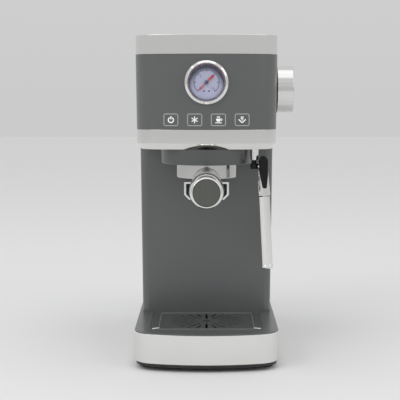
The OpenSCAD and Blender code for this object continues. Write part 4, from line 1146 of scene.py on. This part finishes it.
class MACHINE_OT_gauge(bpy.types.Operator):
    """Makes the pressure gauge: bezel, dial with its scale, needle and lens"""
    bl_idname = "machine.gauge"
    bl_label = "Pressure gauge"

    def execute(self, context):
        lo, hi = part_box("gauge_bezel")
        r, depth = (hi.x - lo.x) / 2, hi.y - lo.y
        lens_r = (high("gauge_lens").x - low("gauge_lens").x) / 2
        place = outward((0, hi.y, (lo.z + hi.z) / 2))
        lip = lens_r - 1.0 * MM
        crest, seat = lip + 1.7 * MM, depth - 2.2 * MM
        profile = soften([(r, 0), (r, depth - 1.8 * MM), (crest + 0.6 * MM, depth), (crest, depth),
                          (lip, depth - 1.9 * MM), (lip, seat), (lens_r + 0.1 * MM, seat),
                          (lens_r + 0.1 * MM, 0)],
                         [0.2 * MM, 1.5 * MM, 0.3 * MM, 0.3 * MM, 0.2 * MM, 0, 0, 0], steps=6)
        shown(turned("gauge_ring", profile, place, closed=True, steps=128), FINISHES["polish_round"],
              "housing",
              "polished_steel", "gauge_bezel")
        lens_lo, lens_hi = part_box("gauge_lens")
        t = lens_hi.y - lens_lo.y
        crown = [(0, t * 1.0), (lens_r * 0.5, t * 0.97), (lens_r * 0.8, t * 0.9), (lens_r, t * 0.72)]
        shown(turned("gauge_window", [(0, 0), (lens_r, 0)] + crown[::-1],
                     outward((0, lens_hi.y, place.translation.z)),
                     steps=96), FINISHES["lens"], "housing", "lens_clear", "gauge_lens")
        dial_lo, dial_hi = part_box("gauge_dial")
        dial_r = (dial_hi.x - dial_lo.x) / 2
        t = dial_hi.y - dial_lo.y
        face = outward((0, dial_lo.y, place.translation.z))
        profile = soften([(0.9 * MM, 0), (dial_r, 0), (dial_r, -t), (0.9 * MM, -t)], 0.12 * MM)
        shown(turned("dial_plate", profile, face, closed=True, steps=96), FINISHES["dial"], "housing",
              "dial_face",
              "gauge_dial")
        self.scale(face, dial_r)
        self.needle(context, face)
        return {"FINISHED"}

    def scale(self, face, r):
        """The dial's printed scale."""
        print_t, ink = 0.05 * MM, FINISHES["dial_ink"]
        at = face @ Matrix.Translation((0, 0, print_t / 2))
        start, sweep_angle = math.radians(225), -math.radians(270)
        fine = ring_of_bars("dial_fine_ticks", ink, 31, r * 0.66, start, sweep_angle / 30,
                            (r * 0.07, 0.3 * MM, print_t), at)
        bold = ring_of_bars("dial_bold_ticks", ink, 7, r * 0.63, start, sweep_angle / 6,
                            (r * 0.13, 0.7 * MM, print_t), at)
        outer = ring_of_bars("dial_outer_ticks", ink, 46, r * 0.90, start, sweep_angle / 45,
                             (r * 0.04, 0.25 * MM, print_t), at)
        line = extruded("dial_line",
                        [(x * MM, y * MM) for x, y in hoop(0, 0, r * 0.70 / MM, 0.4, -45, 225, 48)],
                        print_t, face)
        dots = [extruded("dial_dot",
                         [(x * MM, y * MM) for x, y in stroke((x - 0.4, -8.2), (x + 0.4, -8.2), 1.3)],
                         print_t, face) for x in (-2.4, 2.4)]
        numbers = []
        for i, digits in enumerate(("0", "5", "10", "15")):
            a = start + sweep_angle * i / 3
            numbers.append(self.number(digits, (r * 0.46 * math.cos(a), r * 0.46 * math.sin(a)), face))
        parts = [fine, bold, outer, line, *dots, *numbers]
        shown(joined("dial_print", parts), ink, "housing", "dial_face")

    def number(self, digits, centre, face):
        """A number on the dial, as a thin solid."""
        curve = bpy.data.curves.new("digits", "FONT")
        curve.body, curve.size, curve.extrude = digits, 3.2 * MM, 0.025 * MM
        curve.align_x, curve.align_y = "CENTER", "CENTER"
        curve.resolution_u = 3
        text = bpy.data.objects.new("digits", curve)
        bpy.context.collection.objects.link(text)
        bpy.context.view_layer.update()
        mesh = bpy.data.meshes.new_from_object(text.evaluated_get(bpy.context.evaluated_depsgraph_get()))
        bpy.data.objects.remove(text)
        mesh.transform(face @ Matrix.Translation((centre[0], centre[1], 0.025 * MM)))
        obj = bpy.data.objects.new("digits", mesh)
        bpy.context.collection.objects.link(obj)
        return obj

    def needle(self, context, face):
        """The red needle with its hub."""
        tip, tail = 10.3 * MM, 9.4 * MM
        lift = 0.9 * MM
        at = face @ Matrix.Translation((0, 0, lift)) @ Matrix.Rotation(shape().needle_zero, 4, "Z")
        half = [(tip, 0.3), (tip - 2.6 * MM, 0.85), (tip - 4 * MM, 0.5), (0, 0.6), (-tail * 0.3, 0.6),
                (-tail * 0.42, 1.05), (-tail, 1.05)]
        points = [(x, w * MM) for x, w in half] + [(x, -w * MM) for x, w in reversed(half)]
        blade = bevelled(extruded("blade", points, 0.5 * MM, at), 0.1 * MM, 2)
        spindle = turned("spindle", [(0, -4 * MM), (0.7 * MM, -4 * MM), (0.7 * MM, 0.3 * MM), (0, 0.3 * MM)],
                         face @ Matrix.Translation((0, 0, lift)), steps=24)
        hub = turned("hub", soften([(0, 0), (1.9 * MM, 0), (1.9 * MM, 1.1 * MM), (0, 1.3 * MM)],
                                   [0, 0, 0.4 * MM, 0],
                                   closed=False), face @ Matrix.Translation((0, 0, lift + 0.45 * MM)),
                                   steps=48)
        shown(joined("needle_blade", [blade, spindle]), FINISHES["needle"], "gauge_needle", "needle_red",
              "gauge_needle")
        shown(hub, FINISHES["dial_ink"], "gauge_needle", "needle_red")


# ------------------------------------------------------------------ knob


class MACHINE_OT_knob(bpy.types.Operator):
    """Makes the steam knob and its inset face"""
    bl_idname = "machine.knob"
    bl_label = "Steam knob"

    def execute(self, context):
        lo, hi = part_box("steam_knob")
        r, length = (hi.y - lo.y) / 2, hi.x - lo.x
        centre = (lo + hi) / 2
        place = along_x((lo.x, centre.y, centre.z))
        well = r - 2.4 * MM
        profile = soften([(3.05 * MM, length - 4 * MM), (3.05 * MM, 0), (6 * MM, 0),
                          (6 * MM, length - 6 * MM),
                          (r - 2 * MM, length - 6 * MM), (r - 2 * MM, 0), (r, 0), (r, length), (well, length),
                          (well, length - 1 * MM), (0, length - 1 * MM), (0, length - 4 * MM)],
                         [0, 0, 0, 0, 0, 0.3 * MM, 0.6 * MM, 1.0 * MM, 0.4 * MM, 0, 0, 0], closed=False)
        drum = turned("knob_drum", profile, place, closed=True, steps=128)
        shown(drum, FINISHES["drum"], "steam_knob", "polished_steel", "steam_knob")
        face_lo, face_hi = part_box("knob_face")
        fr = (face_hi.y - face_lo.y) / 2
        t = face_hi.x - face_lo.x
        profile = soften([(0, 0), (fr, 0), (fr, t), (0, t)], [0, 0, 0.3 * MM, 0], closed=False)
        disc = turned("knob_disc", profile, along_x((face_lo.x, centre.y, centre.z)), steps=128)
        line = slab("line", rounded_rect(r - 9 * MM, 1.6 * MM, 0.79 * MM), t - 0.35 * MM, t + MM, 0.05 * MM,
                    along_x((face_lo.x, centre.y, centre.z)) @ Matrix.Translation((-(r + 6 * MM) / 2, 0, 0)))
        shown(cut(disc, [line]), FINISHES["knob"], "steam_knob", "brushed_steel", "knob_face")
        return {"FINISHED"}


# ------------------------------------------------------------------ portafilter


class MACHINE_OT_portafilter(bpy.types.Operator):
    """Makes the portafilter: bowl with its lugs, neck, twin spout, handle and end disc"""
    bl_idname = "machine.portafilter"
    bl_label = "Portafilter"

    def execute(self, context):
        bowl_r = 30.2 * MM
        lo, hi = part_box("portafilter_bowl")
        spout_lo, spout_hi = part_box("twin_spout")
        group = middle("group_head")
        handle_lo, handle_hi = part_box("handle_sleeve")
        axis_z = (handle_lo.z + handle_hi.z) / 2
        bowl_z = hi.z - 22.3 * MM
        centre = upright(0, group.y)
        inner, skirt = 27.4 * MM, 15 * MM
        profile = soften([(4 * MM, spout_hi.z + 0.1 * MM), (skirt, spout_hi.z + 0.1 * MM), (skirt, bowl_z),
                          (bowl_r, bowl_z), (bowl_r, hi.z), (inner, hi.z), (inner, bowl_z + 2 * MM),
                          (4 * MM, bowl_z + 2 * MM)],
                         [0, 0.8 * MM, 1.0 * MM, 1.1 * MM, 0.5 * MM, 0.3 * MM, 1 * MM, 0], steps=6)
        bowl = turned("bowl", profile, centre, closed=True, steps=128)
        lug_r = hi.x
        lugs = []
        for side in (0, 180):
            points = [tuple(p) for p, _ in arc(0, 0, lug_r, side - 18, side + 18, 12)]
            points += [tuple(p) for p, _ in arc(0, 0, bowl_r - 1.5 * MM, side + 18, side - 18, 12)]
            lugs.append(bevelled(extruded("lug", points, 3.6 * MM, centre @ upright(0, 0, hi.z - 4.2 * MM)),
                                 0.4 * MM))
        neck_r = 14 * MM
        neck = turned("neck", soften([(0, 0), (neck_r * 1.02, 0), (neck_r * 0.94, 6 * MM),
                                      (neck_r, group.y - 16 * MM - lo.y), (0, group.y - 16 * MM - lo.y)],
                                     [0, 0.8 * MM, 3 * MM, 0, 0], closed=False, steps=5),
                      Matrix.Translation((0, lo.y, axis_z)) @ Matrix.Rotation(-math.pi / 2, 4, "X"), steps=96)
        room = turned("room", [(0, bowl_z + 2 * MM), (inner - 0.05 * MM, bowl_z + 2 * MM),
                               (inner - 0.05 * MM, hi.z + 5 * MM), (0, hi.z + 5 * MM)], centre, steps=64)
        neck = cut(neck, [room])
        whole = joined("bowl_and_neck", [bowl, neck, *lugs])
        # The bowl takes the darkened steel: painted shade over its reflections.
        shown(whole, FINISHES["cast_polish"], "portafilter", "polished_steel", "portafilter_bowl")
        self.spout(spout_lo, spout_hi, group)
        self.handle(handle_lo, handle_hi, axis_z)
        return {"FINISHED"}

    def spout(self, lo, hi, group):
        """The twin spout: a chamfered block with two outlets."""
        w, c = hi.x, 5 * MM
        place = Matrix.Translation((0, hi.y, 0)) @ Matrix.Rotation(math.pi / 2, 4, "X")
        points = [(-w, hi.z), (-w, lo.z + c), (c - w, lo.z), (w - c, lo.z), (w, lo.z + c), (w, hi.z)]
        body = extruded("spout_block", points, hi.y - lo.y, place)
        rim = 2.2 * MM
        panel = [(-w + rim, hi.z - rim), (-w + rim, lo.z + c + rim * 0.4), (c - w + rim * 0.4, lo.z + rim),
                 (w - c - rim * 0.4, lo.z + rim), (w - rim, lo.z + c + rim * 0.4), (w - rim, hi.z - rim)]
        recess = 0.9 * MM
        depth = hi.y - lo.y
        panels = [extruded("panel", panel, 4 * MM, place @ upright(0, 0, depth - recess)),
                  extruded("panel", panel, 4 * MM, place @ upright(0, 0, recess - 4 * MM))]
        outlets = [turned("outlet", [(0, 0), (3.4 * MM, 0), (3.4 * MM, 7 * MM), (0, 7 * MM)],
                          upright(x, group.y, lo.z - MM), steps=48) for x in (-11 * MM, 11 * MM)]
        body = bevelled(cut(body, panels), 0.5 * MM, 3)
        # A glossy black panel filling the spout's recesses: a painted dark reflection of the block's faces.
        painted_dark_panel = extruded("spout_inlay", panel, depth - 2 * recess + 0.4 * MM,
                         place @ upright(0, 0, recess - 0.2 * MM))
        painted_dark_panel = cut(painted_dark_panel, [turned("stem_room", [(0, lo.z), (12 * MM, lo.z), (12 * MM, hi.z), (0, hi.z)],
                                   upright(0, group.y))])
        shown(painted_dark_panel, FINISHES["gloss"], "portafilter", "black_rubber")
        shown(cut(body, outlets), FINISHES["polish"], "portafilter", "polished_steel", "twin_spout")

    def handle(self, lo, hi, axis_z):
        """The polished handle, its end ring and the grey disc in it."""
        length, r = hi.y - lo.y, (hi.x - lo.x) / 2
        neck, disc = 14 * MM, (high("handle_cap").x - low("handle_cap").x) / 2
        place = Matrix.Translation((0, hi.y, axis_z)) @ Matrix.Rotation(math.pi / 2, 4, "X")
        side = [(neck + (r - neck) * t - 1.3 * MM * math.sin(math.pi * t), length * 0.8 * t)
                for t in (i / 24 for i in range(25))]
        crown = disc + 0.5 * MM
        side += [(crown + (r - crown) * math.cos(a), length * (0.8 + 0.2 * math.sin(a)))
                 for a in (math.pi / 2 * i / 16 for i in range(1, 17))]
        hole = disc + 0.1 * MM
        profile = [(0, 0), (neck - 0.5 * MM, 0)] + side[1:] + [
            (hole + 0.15 * MM, length), (hole, length - 0.2 * MM), (hole, length - 3 * MM),
            (0, length - 3 * MM)]
        shown(turned("handle_grip", profile, place, steps=128), FINISHES["polish_round"], "portafilter",
              "polished_steel", "handle_sleeve")
        cap_lo, cap_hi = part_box("handle_cap")
        t = cap_hi.y - cap_lo.y
        profile = soften([(0, 0), (disc, 0), (disc, t), (0, t)], [0, 0, 0.5 * MM, 0], closed=False)
        at = Matrix.Translation((0, cap_hi.y, axis_z)) @ Matrix.Rotation(math.pi / 2, 4, "X")
        shown(turned("handle_disc", profile, at), FINISHES["disc"], "portafilter", "brushed_steel",
              "handle_cap")


# ------------------------------------------------------------------ steam wand


class MACHINE_OT_wand(bpy.types.Operator):
    """Makes the steam wand: nut, swivel, pipe, finger grip and frothing sleeve"""
    bl_idname = "machine.wand"
    bl_label = "Steam wand"

    def execute(self, context):
        nut_lo, nut_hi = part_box("wand_nut")
        x, y = (nut_lo.x + nut_hi.x) / 2, (nut_lo.y + nut_hi.y) / 2
        h = nut_hi.z - nut_lo.z
        profile = soften([(0, 0), (3.7 * MM, 0), (4.2 * MM, 11 * MM), (3.2 * MM, 11 * MM), (3.2 * MM, h),
                          (0, h)],
                         [0, 0.6 * MM, 0.3 * MM, 0, 0, 0], closed=False)
        hole = turned("hole", [(0, -MM), (2.28 * MM, -MM), (2.28 * MM, 7 * MM), (0, 7 * MM)],
                      upright(x, y, nut_lo.z), steps=32)
        nut = cut(turned("wand_union", profile, upright(x, y, nut_lo.z), steps=64), [hole])
        shown(nut, FINISHES["tube"], "housing", "polished_steel", "wand_nut")
        lo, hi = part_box("wand_swivel")
        pivot = lo.z + 2.6 * MM
        r = (hi.x - lo.x) / 2
        profile = soften([(0, 0), (r, 0), (r, 5.2 * MM), (2.2 * MM, 5.2 * MM), (2.2 * MM, hi.z - lo.z),
                          (0, hi.z - lo.z)], [0, 0.8 * MM, 0.8 * MM, 0.2 * MM, 0, 0], closed=False)
        bore = turned("bore", [(0, 0), (1.68 * MM, 0), (1.68 * MM, 20 * MM), (0, 20 * MM)],
                      along_x((x - 1.5 * MM, y, pivot)), steps=32)
        swivel = cut(turned("wand_knuckle", profile, upright(x, y, lo.z), steps=64), [bore])
        # The swivel in glossy black: a dark piece standing in for the shaded band under the nut, painted
        # shade.
        shown(swivel, FINISHES["gloss"], "wand_joint", "black_rubber", "wand_swivel")
        elbow = Vector((x + 8.3 * MM, y, pivot))
        lean = Matrix.Translation(elbow) @ Matrix.Rotation(-shape().lean, 4, "Y")
        self.pipe(lean, x, y, pivot)
        self.grip(pivot)
        self.sleeve(lean)
        return {"FINISHED"}

    def pipe(self, lean, x, y, pivot):
        """The steam pipe, its pin and its polished collar."""
        pin = turned("pin", [(0, 0), (1.6 * MM, 0), (1.6 * MM, 9.7 * MM), (0, 9.7 * MM)],
                     along_x((x - 1.4 * MM, y, pivot)), steps=32)
        top, bottom = -3.4 * MM, -28.6 * MM
        collar = turned("collar",
                        soften([(2 * MM, top), (4.95 * MM, top), (6.1 * MM, bottom), (2 * MM, bottom)],
                                         [0, 0.8 * MM, 0.6 * MM, 0]), lean, closed=True, steps=64)
        end = -29.4 * MM - 71 * MM + 4 * MM
        tube = turned("tube", soften([(0, 2 * MM), (2 * MM, 2 * MM), (2 * MM, end), (0, end)],
                                     [0, 1.9 * MM, 0, 0], closed=False), lean, steps=32)
        shown(joined("wand_tube", [pin, collar, tube]), FINISHES["polish_round"], "steam_wand",
              "polished_steel",
              "wand_pipe")

    def grip(self, pivot):
        """The black finger grip that wraps the elbow."""
        lo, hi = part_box("wand_grip")
        inner, width = lo.x, hi.y - lo.y
        top = hi.z
        points = [(inner + 3.4 * MM, lo.z), (inner + 7.6 * MM, lo.z), (inner + 8.8 * MM, pivot - 8 * MM)]
        points += [tuple(p) for p, _ in arc(inner + 4.4 * MM, top - 4.4 * MM, 4.4 * MM, 0, 180, 12)]
        points += [(inner, pivot - 4 * MM), (inner + 1.4 * MM, pivot - 12 * MM)]
        place = Matrix.Translation((0, hi.y, 0)) @ Matrix.Rotation(math.pi / 2, 4, "X")
        grip = bevelled(extruded("finger_grip", points, width, place), 1.6 * MM, 5)
        shown(grip, FINISHES["gloss"], "steam_wand", "black_rubber", "wand_grip")

    def sleeve(self, lean):
        """The frothing sleeve with its rolled tip."""
        r, length, top = 5.35 * MM, 71 * MM, -29.4 * MM
        tip = r + 0.3 * MM
        profile = soften([(1.2 * MM, 0), (tip, 0), (tip, 3 * MM), (r, 3.6 * MM), (r, length),
                          (r - 1 * MM, length), (2.1 * MM, length), (2.1 * MM, 5 * MM), (1.2 * MM, 3 * MM)],
                         [0.4 * MM, 1.2 * MM, 0.3 * MM, 0.3 * MM, 0.9 * MM, 0, 0, 0, 0], steps=6)
        sleeve = turned("froth_sleeve", profile, lean @ upright(0, 0, top - length), closed=True, steps=96)
        shown(sleeve, FINISHES["tube"], "steam_wand", "polished_steel", "wand_sleeve")


# ------------------------------------------------------------------ tank and back


class MACHINE_OT_tank(bpy.types.Operator):
    """Makes the water tank and its hinged lid"""
    bl_idname = "machine.tank"
    bl_label = "Water tank"

    def tank_path(self, lo, hi):
        """Closed outline of the tank."""
        back, front, half = 16 * MM, 5 * MM, hi.x
        return merged(
            arc(half - back, hi.y - back, back, 0, 90, 16), arc(back - half, hi.y - back, back, 90, 180, 16),
            arc(front - half, lo.y + front, front, 180, 270, 8),
            arc(half - front, lo.y + front, front, 270, 360, 8))

    def execute(self, context):
        lid_lo, lid_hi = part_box("tank_lid")
        lo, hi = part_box("water_tank")
        path = self.tank_path(lid_lo, lid_hi)
        wall, floor_t = 2.2 * MM, 3 * MM
        top = lid_lo.z - 1.4 * MM
        section = soften([(0, lo.z), (0, top), (wall, top), (wall, lo.z + floor_t)],
                         [1.6 * MM, 0.5 * MM, 0.5 * MM, 2 * MM], closed=False, steps=5)
        ring = section[:]
        seat = middle("tank_valve")
        body = sweep("tank_shell", path, [(p[0], p[1]) for p in ring], closed_path=True, closed_section=False)
        hole = turned("hole", [(0, 0), (8.2 * MM, 0), (8.2 * MM, 20 * MM), (0, 20 * MM)],
                      upright(0, seat.y, lo.z - 10 * MM), steps=48)
        ears = []
        ear_x, hinge_y, hinge_z = hi.x - 20 * MM, lid_hi.y - 1.5 * MM, lid_lo.z + 1.2 * MM
        for side in (-1, 1):
            ear = block("ear", (side * ear_x - 2 * MM, hinge_y - 1.4 * MM, top - 0.5 * MM),
                        (side * ear_x + 2 * MM, hinge_y + 1.4 * MM, hinge_z + 1.6 * MM))
            pin = turned("pin", [(0, 0), (1.28 * MM, 0), (1.28 * MM, 20 * MM), (0, 20 * MM)],
                         along_x((side * ear_x - 10 * MM, hinge_y, hinge_z)), steps=32)
            ears.append(cut(ear, [pin]))
        body = joined("tank_shell", [cut(body, [hole]), *ears])
        shown(body, FINISHES["tank"], "water_tank", "tank_smoke", "water_tank")
        self.lid(path, lid_lo, lid_hi, ear_x, hinge_y, hinge_z)
        return {"FINISHED"}

    def lid(self, path, lo, hi, ear_x, hinge_y, hinge_z):
        """The lid, with notches for the tank's ears and its hinge pins."""
        wall = 2.2 * MM
        section = soften([(0, lo.z), (0, hi.z), (0.02, hi.z)], [0, 2.2 * MM, 0], closed=False, steps=6)
        outer = [(p[0], p[1]) for p in section if p[0] < 0.01]
        inner = [(wall, hi.z - 2.4 * MM), (wall, lo.z)]
        lid = sweep("lid_cap", path, outer, closed_path=True, closed_section=False)
        room = sweep("room", path, [(wall, lo.z - MM), (wall, inner[0][1])], closed_path=True,
                     closed_section=False)
        notches = [block("notch", (side * ear_x - 2.6 * MM, hinge_y - 3 * MM, lo.z - MM),
                         (side * ear_x + 2.6 * MM, hinge_y + 7 * MM, lo.z + 8 * MM)) for side in (-1, 1)]
        scoop = turned("scoop", [(0, -6 * MM), (22 * MM, -6 * MM), (22 * MM, 6 * MM), (0, 6 * MM)],
                       Matrix.Translation((0, lo.y - 19 * MM, hi.z + 3.6 * MM)), steps=64)
        lid = cut(lid, [room, *notches, scoop])
        pins = [turned("pin", [(0, 0), (1.2 * MM, 0), (1.2 * MM, 10 * MM), (0, 10 * MM)],
                       along_x((side * ear_x - 5 * MM, hinge_y, hinge_z)), steps=32) for side in (-1, 1)]
        shown(joined("lid_cap", [lid, *pins]), FINISHES["coat"], "tank_lid", "satin_grey", "tank_lid")


class MACHINE_OT_screws(bpy.types.Operator):
    """Makes the screws, all from one pattern"""
    bl_idname = "machine.screws"
    bl_label = "Screws"

    def execute(self, context):
        mesh = FRAME["nodes"]["screws"].data
        spots = self.heads(mesh)
        parts = []
        for centre, axis, length in spots:
            place = Matrix.Translation(centre) @ axis.to_track_quat("Z", "Y").to_matrix().to_4x4()
            head = turned("head",
                          soften([(0, -1.8 * MM), (3 * MM, -1.8 * MM), (3 * MM, -0.9 * MM), (1.8 * MM, 0),
                                          (0, 0)], [0, 0.1 * MM, 0.7 * MM, 0.6 * MM, 0], closed=False),
                          place, steps=32)
            slots = [extruded("slot", [(-a, -b), (a, -b), (a, b), (-a, b)], 2 * MM,
                              place @ upright(0, 0, -MM))
                     for a, b in ((1.8 * MM, 0.4 * MM), (0.4 * MM, 1.8 * MM))]
            shank = turned("shank", [(0, -length), (1.2 * MM, -length), (1.5 * MM, 0.8 * MM - length),
                                     (1.5 * MM, -1.8 * MM), (0, -1.8 * MM)], place, steps=24)
            parts += [cut(head, slots), shank]
        shown(joined("pan_screws", parts), FINISHES["brushed"], "housing", "brushed_steel", "screws")
        return {"FINISHED"}

    def heads(self, mesh):
        """Finds each screw in the frame's node: the top of its head, its axis and its length."""
        bm = bmesh.new()
        bm.from_mesh(mesh)
        bmesh.ops.remove_doubles(bm, verts=bm.verts, dist=1e-6)
        left, out = set(bm.verts), []
        while left:
            island, edge = set(), [next(iter(left))]
            while edge:
                v = edge.pop()
                if v in island:
                    continue
                island.add(v)
                edge += [e.other_vert(v) for e in v.link_edges]
            left -= island
            lo = Vector([min(v.co[i] for v in island) for i in range(3)])
            hi = Vector([max(v.co[i] for v in island) for i in range(3)])
            size, mid = hi - lo, (lo + hi) / 2
            k = max(range(3), key=lambda i: size[i])
            near = [v.co for v in island if v.co[k] < mid[k]]
            far = [v.co for v in island if v.co[k] >= mid[k]]
            spread = [max((p - mid).to_2d().length if k == 2 else abs(p.x - mid.x) for p in side)
                      for side in (near, far)]
            sign = 1 if spread[1] > spread[0] else -1
            axis = Vector([sign if i == k else 0 for i in range(3)])
            out.append((mid + axis * (size[k] / 2), axis, size[k]))
        bm.free()
        return sorted(out, key=lambda item: tuple(round(c, 5) for c in item[0]))


class MACHINE_OT_carried(bpy.types.Operator):
    """Gives the frame's own nodes that stay their finishes"""
    bl_idname = "machine.carried"
    bl_label = "Carried-over nodes"

    def execute(self, context):
        finishes = {
            "coat": ("back_panel", "head_floor", "drip_tray"),
            "cast": ("group_head", "thermoblock"),
            "rubber": ("group_gasket", "pump_mounts"),
            "black": ("base_pan", "gauge_case", "tank_valve", "pump", "solenoid_valve"),
            "brushed": ("shower_screen", "filter_basket", "basket_spring", "handle_rod"),
            "brass": ("steam_valve", "valve_spindle", "bourdon_tube"),
            "copper": ("steam_pipes",),
            "hose": ("hoses",),
            "board": ("control_board", "power_board"),
        }
        for key, nodes in finishes.items():
            for node in nodes:
                slots = FRAME["nodes"][node].material_slots
                for slot in slots:
                    slot.material = FINISHES[key]
        return {"FINISHED"}


# ------------------------------------------------------------------ stage

class Studio(Tree):
    """The world: even soft light, a little stronger from above."""

    def build(self):
        """Builds the tree."""
        ray = self.node("ShaderNodeTexCoord", out="Generated")
        z = self.node("ShaderNodeSeparateXYZ", {}, {0: ray}, out="Z")
        soft = self.node("ShaderNodeBackground", {},
                         {"Color": (1, 1, 1), "Strength": 0.6 + 0.2 * z.clipped(0.0, 1.0)})
        self.feed(self.tree.nodes.new("ShaderNodeOutputWorld").inputs[0], soft)


class MACHINE_OT_stage(bpy.types.Operator):
    """Makes the floor, the studio light and the camera"""
    bl_idname = "machine.stage"
    bl_label = "Stage"

    def execute(self, context):
        scene = context.scene
        scene.view_settings.view_transform = "Standard"
        scene.view_settings.look = "None"
        scene.world = bpy.data.worlds.new("studio")
        scene.world.use_nodes = True
        scene.world.node_tree.nodes.clear()
        Studio(scene.world.node_tree).build()
        floor = slab("floor", rounded_rect(12, 12, 0.5), -0.01, 0, 0.001)
        sheet = Surface("white floor", Roughness=0.9, Base_Color=(0.85, 0.85, 0.85))
        floor.data.materials.append(sheet.material)
        self.light("key", (-1.2, -1.1, 1.3), (0, 0, 0.15), 1.2, 7)
        self.light("fill", (1.3, -0.9, 1.0), (0, 0, 0.15), 1.2, 3)
        self.light("overhead", (0, -0.3, 2.0), (0, 0, 0.1), 1.6, 4)
        cam = bpy.data.cameras.new("camera")
        cam.lens, cam.sensor_width, cam.shift_x = 102.11, 36, -0.0163
        obj = bpy.data.objects.new("camera", cam)
        context.collection.objects.link(obj)
        obj.location = (0, -1.210, 0.2637)
        obj.rotation_euler = (math.radians(90 - 5.287), 0, 0)
        scene.camera = obj
        return {"FINISHED"}

    def light(self, name, place, target, size, power):
        """A soft square light."""
        data = bpy.data.lights.new(name, "AREA")
        data.energy, data.size = power, size
        obj = bpy.data.objects.new(name, data)
        bpy.context.collection.objects.link(obj)
        obj.location = place
        obj.rotation_euler = (Vector(target) - Vector(place)).to_track_quat("-Z", "Y").to_euler()


# ------------------------------------------------------------------ add-on


class MACHINE_PT_panel(bpy.types.Panel):
    """Lists the machine's settings and pieces"""
    bl_label = "Espresso machine"
    bl_idname = "MACHINE_PT_panel"
    bl_space_type = "VIEW_3D"
    bl_region_type = "UI"
    bl_category = "Espresso"

    def draw(self, context):
        for group in (context.scene.machine_shape, context.scene.machine_finish):
            box = self.layout.box()
            for key in group.__annotations__:
                box.prop(group, key)
        for operator in OPERATORS:
            self.layout.operator(operator.bl_idname)


OPERATORS = (
    MACHINE_OT_stage, MACHINE_OT_head, MACHINE_OT_bands, MACHINE_OT_top, MACHINE_OT_column, MACHINE_OT_base,
    MACHINE_OT_feet, MACHINE_OT_tray, MACHINE_OT_grate, MACHINE_OT_keys, MACHINE_OT_gauge, MACHINE_OT_knob,
    MACHINE_OT_portafilter, MACHINE_OT_wand, MACHINE_OT_tank, MACHINE_OT_screws, MACHINE_OT_carried)
CLASSES = (MachineShape, MachineFinish, MACHINE_PT_panel) + OPERATORS


def register():
    """Registers the classes and the scene's settings."""
    for cls in CLASSES:
        bpy.utils.register_class(cls)
    bpy.types.Scene.machine_shape = bpy.props.PointerProperty(type=MachineShape)
    bpy.types.Scene.machine_finish = bpy.props.PointerProperty(type=MachineFinish)


def unregister():
    """Takes the classes and the settings away again."""
    del bpy.types.Scene.machine_finish
    del bpy.types.Scene.machine_shape
    for cls in reversed(CLASSES):
        bpy.utils.unregister_class(cls)


def main():
    """Makes the whole machine."""
    register()
    make_finishes()
    for operator in OPERATORS:
        group, name = operator.bl_idname.split(".")
        getattr(getattr(bpy.ops, group), name)()


if __name__ == "__main__":
    main()
